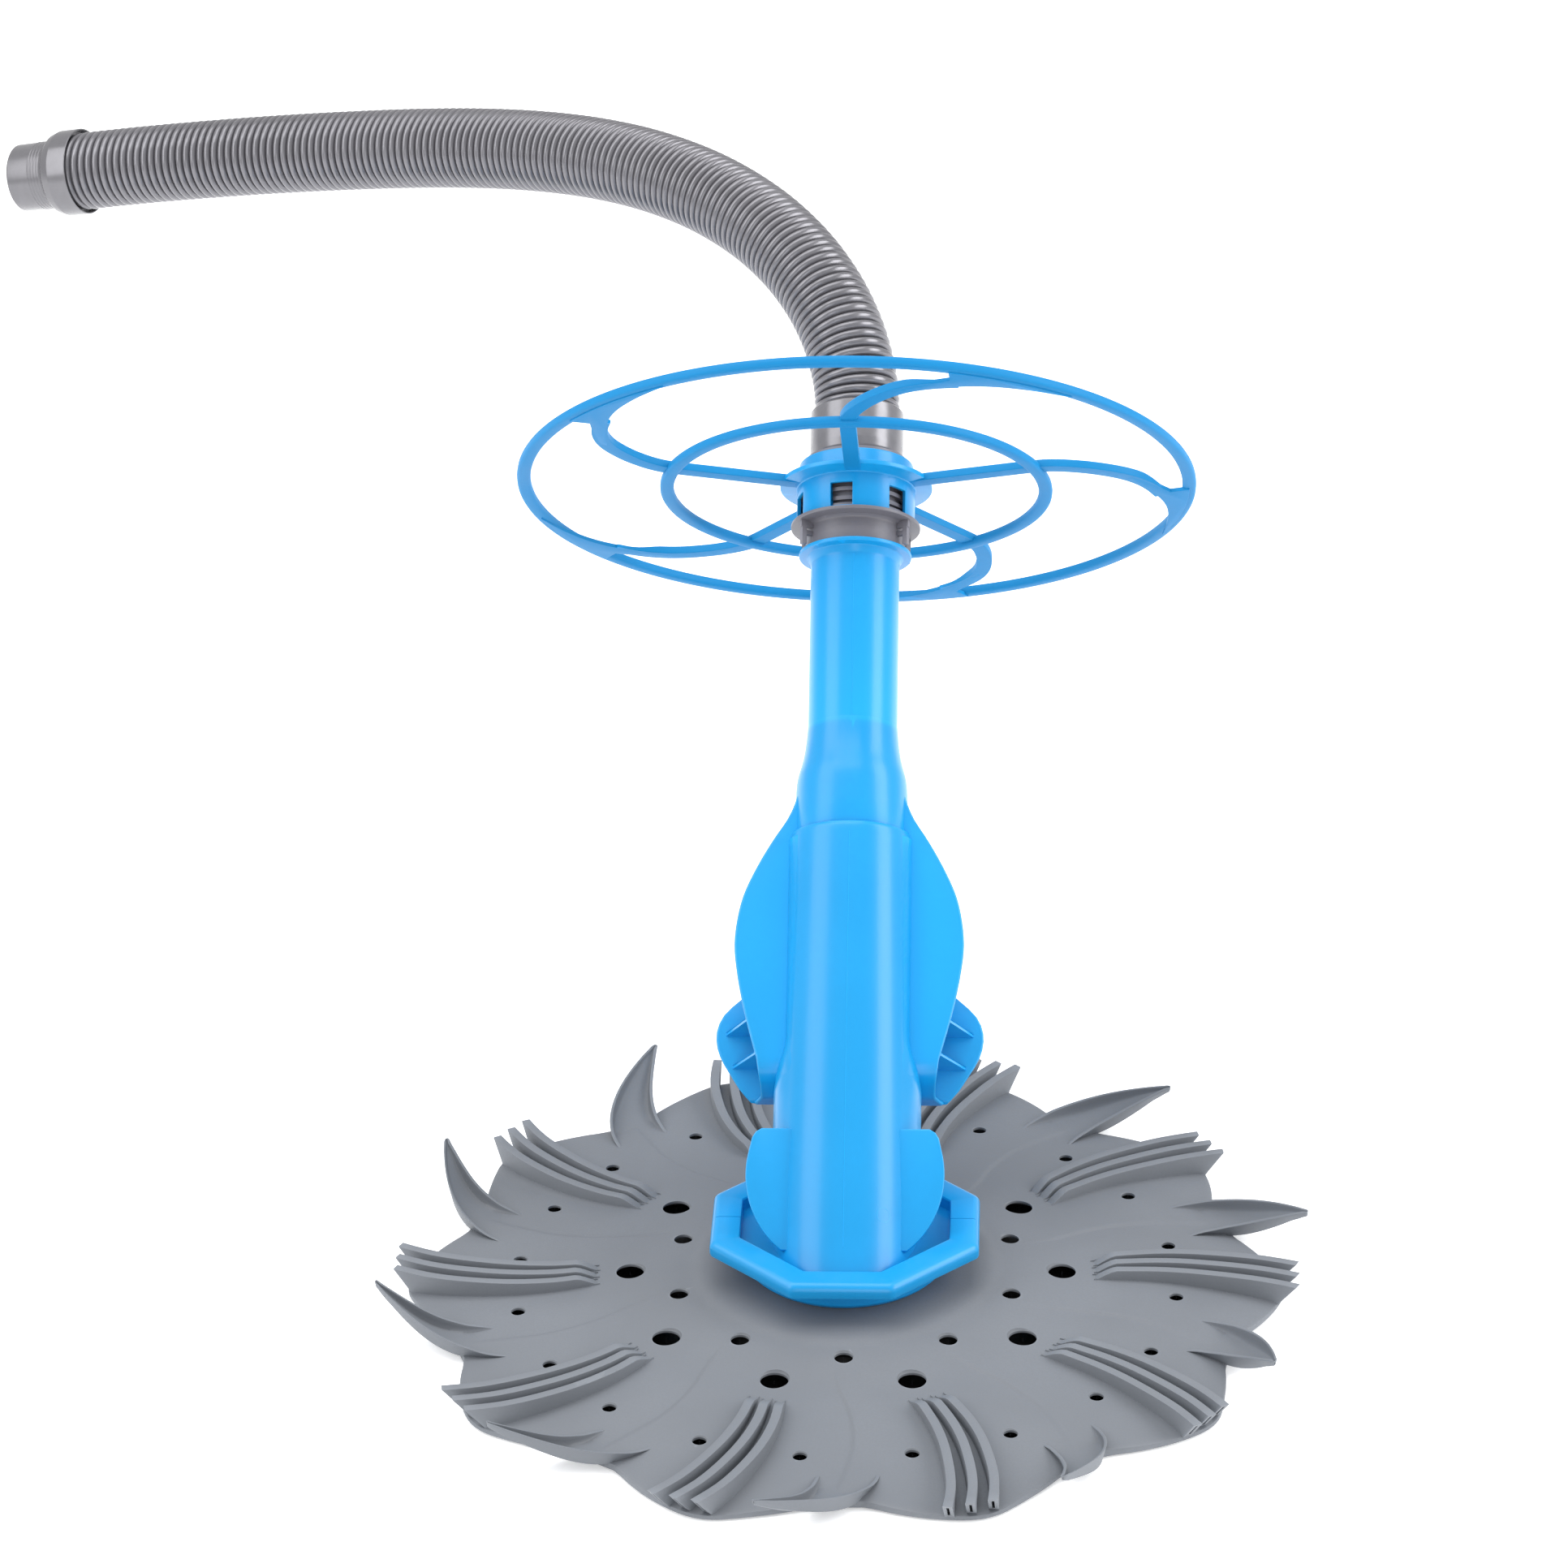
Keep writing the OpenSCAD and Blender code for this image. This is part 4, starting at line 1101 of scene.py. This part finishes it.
HUB_AT = 396.7
WHEEL_AT = 418.6
HUB = [(27.98, HUB_AT), (30, HUB_AT), (30, 415.5), (38.8, 416.3), (38.8, WHEEL_AT),
       (29.8, 419.2), (29.1, 428.6), (23, 428.6), (23, 424.3), (27.98, 424.3)]
HUB_ROUND = [0.2, 0.5, 0.9, 0.5, 0.5, 0.9, 0.9, 0.6, 0.2, 0.2]
WINDOW_HALF, WINDOW_LOW, WINDOW_HIGH = 5.7, HUB_AT + 0.8, HUB_AT + 13.2


def make_hub():
    """The wheel's hub, a wide flange on a sleeve with six windows."""
    window = block((20, -WINDOW_HALF, WINDOW_LOW), (40, WINDOW_HALF, WINDOW_HIGH))
    windows = [spun(window, i * 60 - 103) for i in range(6)]
    shape = cut(lathe(fillet(HUB, HUB_ROUND, 4)), windows, bevel=0.35, bevel_angle=60)
    make("wheel_hub_moulding", shape, BODY, BLUE, "wheel", ["wheel_hub"])


OUTER_RING_R, INNER_RING_R, INNER_RING_DROP = 169.5, 96.5, 2.6
RING_W, RING_H = 7.1, 5.0


def bar_section():
    """Section of the wheel's rings: rounded, with a flatter side down."""
    points = []
    for a in circle(20):
        c, s = cos(a), sin(a)
        x = RING_W / 2 * abs(c) ** 0.72 * (1 if c > 0 else -1)
        z = RING_H / 2 * abs(s) ** (0.8 if s > 0 else 0.55) * (1 if s > 0 else -1)
        points.append((x, z))
    return points


def make_ring(r, at, name, node):
    section = [(r + x, at + z) for x, z in bar_section()]
    make(name, lathe(section, 220), BODY, SHADED_WHEEL_BLUE, "wheel", [node], sharp=60)


# A spoke's centre line: distance from the axis, and turn from the spoke's root
SPOKE_PATH = [
    (29.6, 0), (50, 0.2), (66, 0.4), (80, 0.5), (92, 0.6), (101, 1.0), (108, 2.1), (114, 3.5),
    (121, 5.3), (129, 7.7), (136, 10), (142.2, 12.5), (147.5, 15.3), (152, 18.3), (156, 21.6)]
SPOKES = 5
SPOKE_PHASE = 1.7
STRAP_HALF_W, STRAP_HALF_H, STRAP_DROP = 4.1, 2.1, 3.1
# Inner edge of the web, from inside the spoke to the outer ring, and its outer corner
WEB_EDGE = [
    (138.5, 11.2), (146, 16.6), (150.8, 19.9), (154.5, 22.6), (157.8, 25.3), (160.6, 28.2),
    (163, 31.4), (165.8, 35.6), (OUTER_RING_R, 41.5)]
WEB_END = [(OUTER_RING_R, 18.4), (160, 19.6), (154.3, 16.9), (148, 13.8), (142, 11.2)]


def wheel_point(r, turn):
    """A point by its distance from the axis and its turn from the front."""
    return Vector((r * sin(radians(turn)), -r * cos(radians(turn))))


def spoke():
    """A curved flat spoke and the thin web that joins its end to the outer ring."""
    path = [Vector(p) for p in curve_through([wheel_point(*row) for row in SPOKE_PATH], 3)]
    strap = fillet([(-STRAP_HALF_W, -STRAP_HALF_H), (STRAP_HALF_W, -STRAP_HALF_H),
                    (STRAP_HALF_W, STRAP_HALF_H), (-STRAP_HALF_W, STRAP_HALF_H)],
                   [0.5, 0.5, 1.3, 1.3], 4)
    loops = []
    for i, p in enumerate(path):
        ahead = (path[min(i + 1, len(path) - 1)] - path[max(i - 1, 0)]).normalized()
        across = Vector((-ahead.y, ahead.x))
        # Over the 11 mm past 143 the strap sinks into the web, its underside staying flat
        low = 1 - 0.55 * smooth((p.length - 143) / 11)
        loops.append([(p.x + across.x * x, p.y + across.y * x,
                       WHEEL_AT - STRAP_DROP + (z + STRAP_HALF_H) * low) for x, z in strap])
    edge = [Vector(p) for p in curve_through([wheel_point(*row) for row in WEB_EDGE], 3)]
    rim = [wheel_point(OUTER_RING_R, a) for a in np.linspace(40, 20, 10)]
    end = [wheel_point(*row) for row in WEB_END]
    web = plate([(p.x, p.y) for p in (edge + rim + end)[::-1]], WHEEL_AT - 3.12, WHEEL_AT - 1.1,
                0.3)
    return weld([loft(loops), web])


def make_spokes():
    shape = around(spoke(), SPOKES, -SPOKE_PHASE)
    make("wheel_spoke_bars", shape, BODY, SHADED_WHEEL_BLUE, "wheel", ["wheel_spokes"],
         sharp=60)


make_nut()
make_hub()
make_ring(OUTER_RING_R, WHEEL_AT, "wheel_outer_bar", "wheel_outer_ring")
make_ring(INNER_RING_R, WHEEL_AT - INNER_RING_DROP, "wheel_inner_bar", "wheel_inner_ring")
make_spokes()


# --------------------------------------------------- CAD pieces that stay
def dress(material, *names):
    """Gives CAD nodes that stay in view a detailed material."""
    for name in names:
        mesh = frame["nodes"][name].data
        mesh.materials.clear()
        mesh.materials.append(material)


dress(WHITE, "foot_spindle", "throat_liner", "diaphragm_ring", "bearing_washer")
dress(BLACK, "diaphragm", "diaphragm_seal", "pipe_seal", "cuff_seal")
dress(GRAY, "inner_pipe", "swivel_sleeve", "wheel_clip")


# ------------------------------------------------------------------- stage
FLOOR_Z, FLOOR_GLOW = -0.0005, 0.34
# The black patch of painted shadow under the disc: its radius and height
SHADOW_PATCH_R, SHADOW_PATCH_Z = 0.178, -0.0003
WORLD_POWER = 0.76
LIGHT_AIM = (0, 0.2, 0.2)


def make_floor():
    bpy.ops.mesh.primitive_plane_add(size=24, location=(0, 3, FLOOR_Z))
    floor = bpy.context.object
    floor.name = "floor"
    material = bpy.data.materials.new("pale_floor")
    material.use_nodes = True
    shader = material.node_tree.nodes["Principled BSDF"]
    socket(shader, "Base Color", (0.93, 0.935, 0.94, 1))
    socket(shader, "Roughness", 0.9)
    socket(shader, "Emission Color", (1, 1, 1, 1))
    socket(shader, "Emission Strength", FLOOR_GLOW)
    floor.data.materials.append(material)
    # A black patch on the floor under the disc: painted shadow, so that the ground seen through the
    # disc's holes looks dark
    bpy.ops.mesh.primitive_circle_add(vertices=96, radius=SHADOW_PATCH_R, fill_type="NGON",
                                      location=(0, 0, SHADOW_PATCH_Z))
    shadow_patch = bpy.context.object
    shadow_patch.name = "painted_shadow_under_disc"
    shadow_patch.data.materials.append(BLACK)


def area_light(name, place, width, height, power, along=Vector((0, 1, 0))):
    """A soft box aimed at the object. Its height runs as near as it can along a direction."""
    data = bpy.data.lights.new(name, "AREA")
    data.shape = "RECTANGLE"
    data.size = width
    data.size_y = height
    data.energy = power
    light = add_object(name, data)
    back = (Vector(place) - Vector(LIGHT_AIM)).normalized()
    across = along.cross(back).normalized()
    light.matrix_world = placed(across, back.cross(across), back, place)


def make_lights():
    world = bpy.data.worlds.new("studio")
    bpy.context.scene.world = world
    world.use_nodes = True
    background = world.node_tree.nodes["Background"]
    socket(background, "Color", (1, 1, 1, 1))
    socket(background, "Strength", WORLD_POWER)
    area_light("right_box", (2.081, 0.013, 1.376), 1.1, 2.4, 46, AXIS)
    area_light("left_box", (-1.707, -0.218, 1.52), 1.3, 2.4, 30, AXIS)
    area_light("front_fill", (0.1, -3.0, 0.5), 2.4, 0.8, 18, X)
    area_light("top_soft", (-0.3, 0.6, 3.2), 2.6, 2.6, 57)


make_floor()
make_lights()
bpy.context.scene.view_settings.view_transform = "Standard"
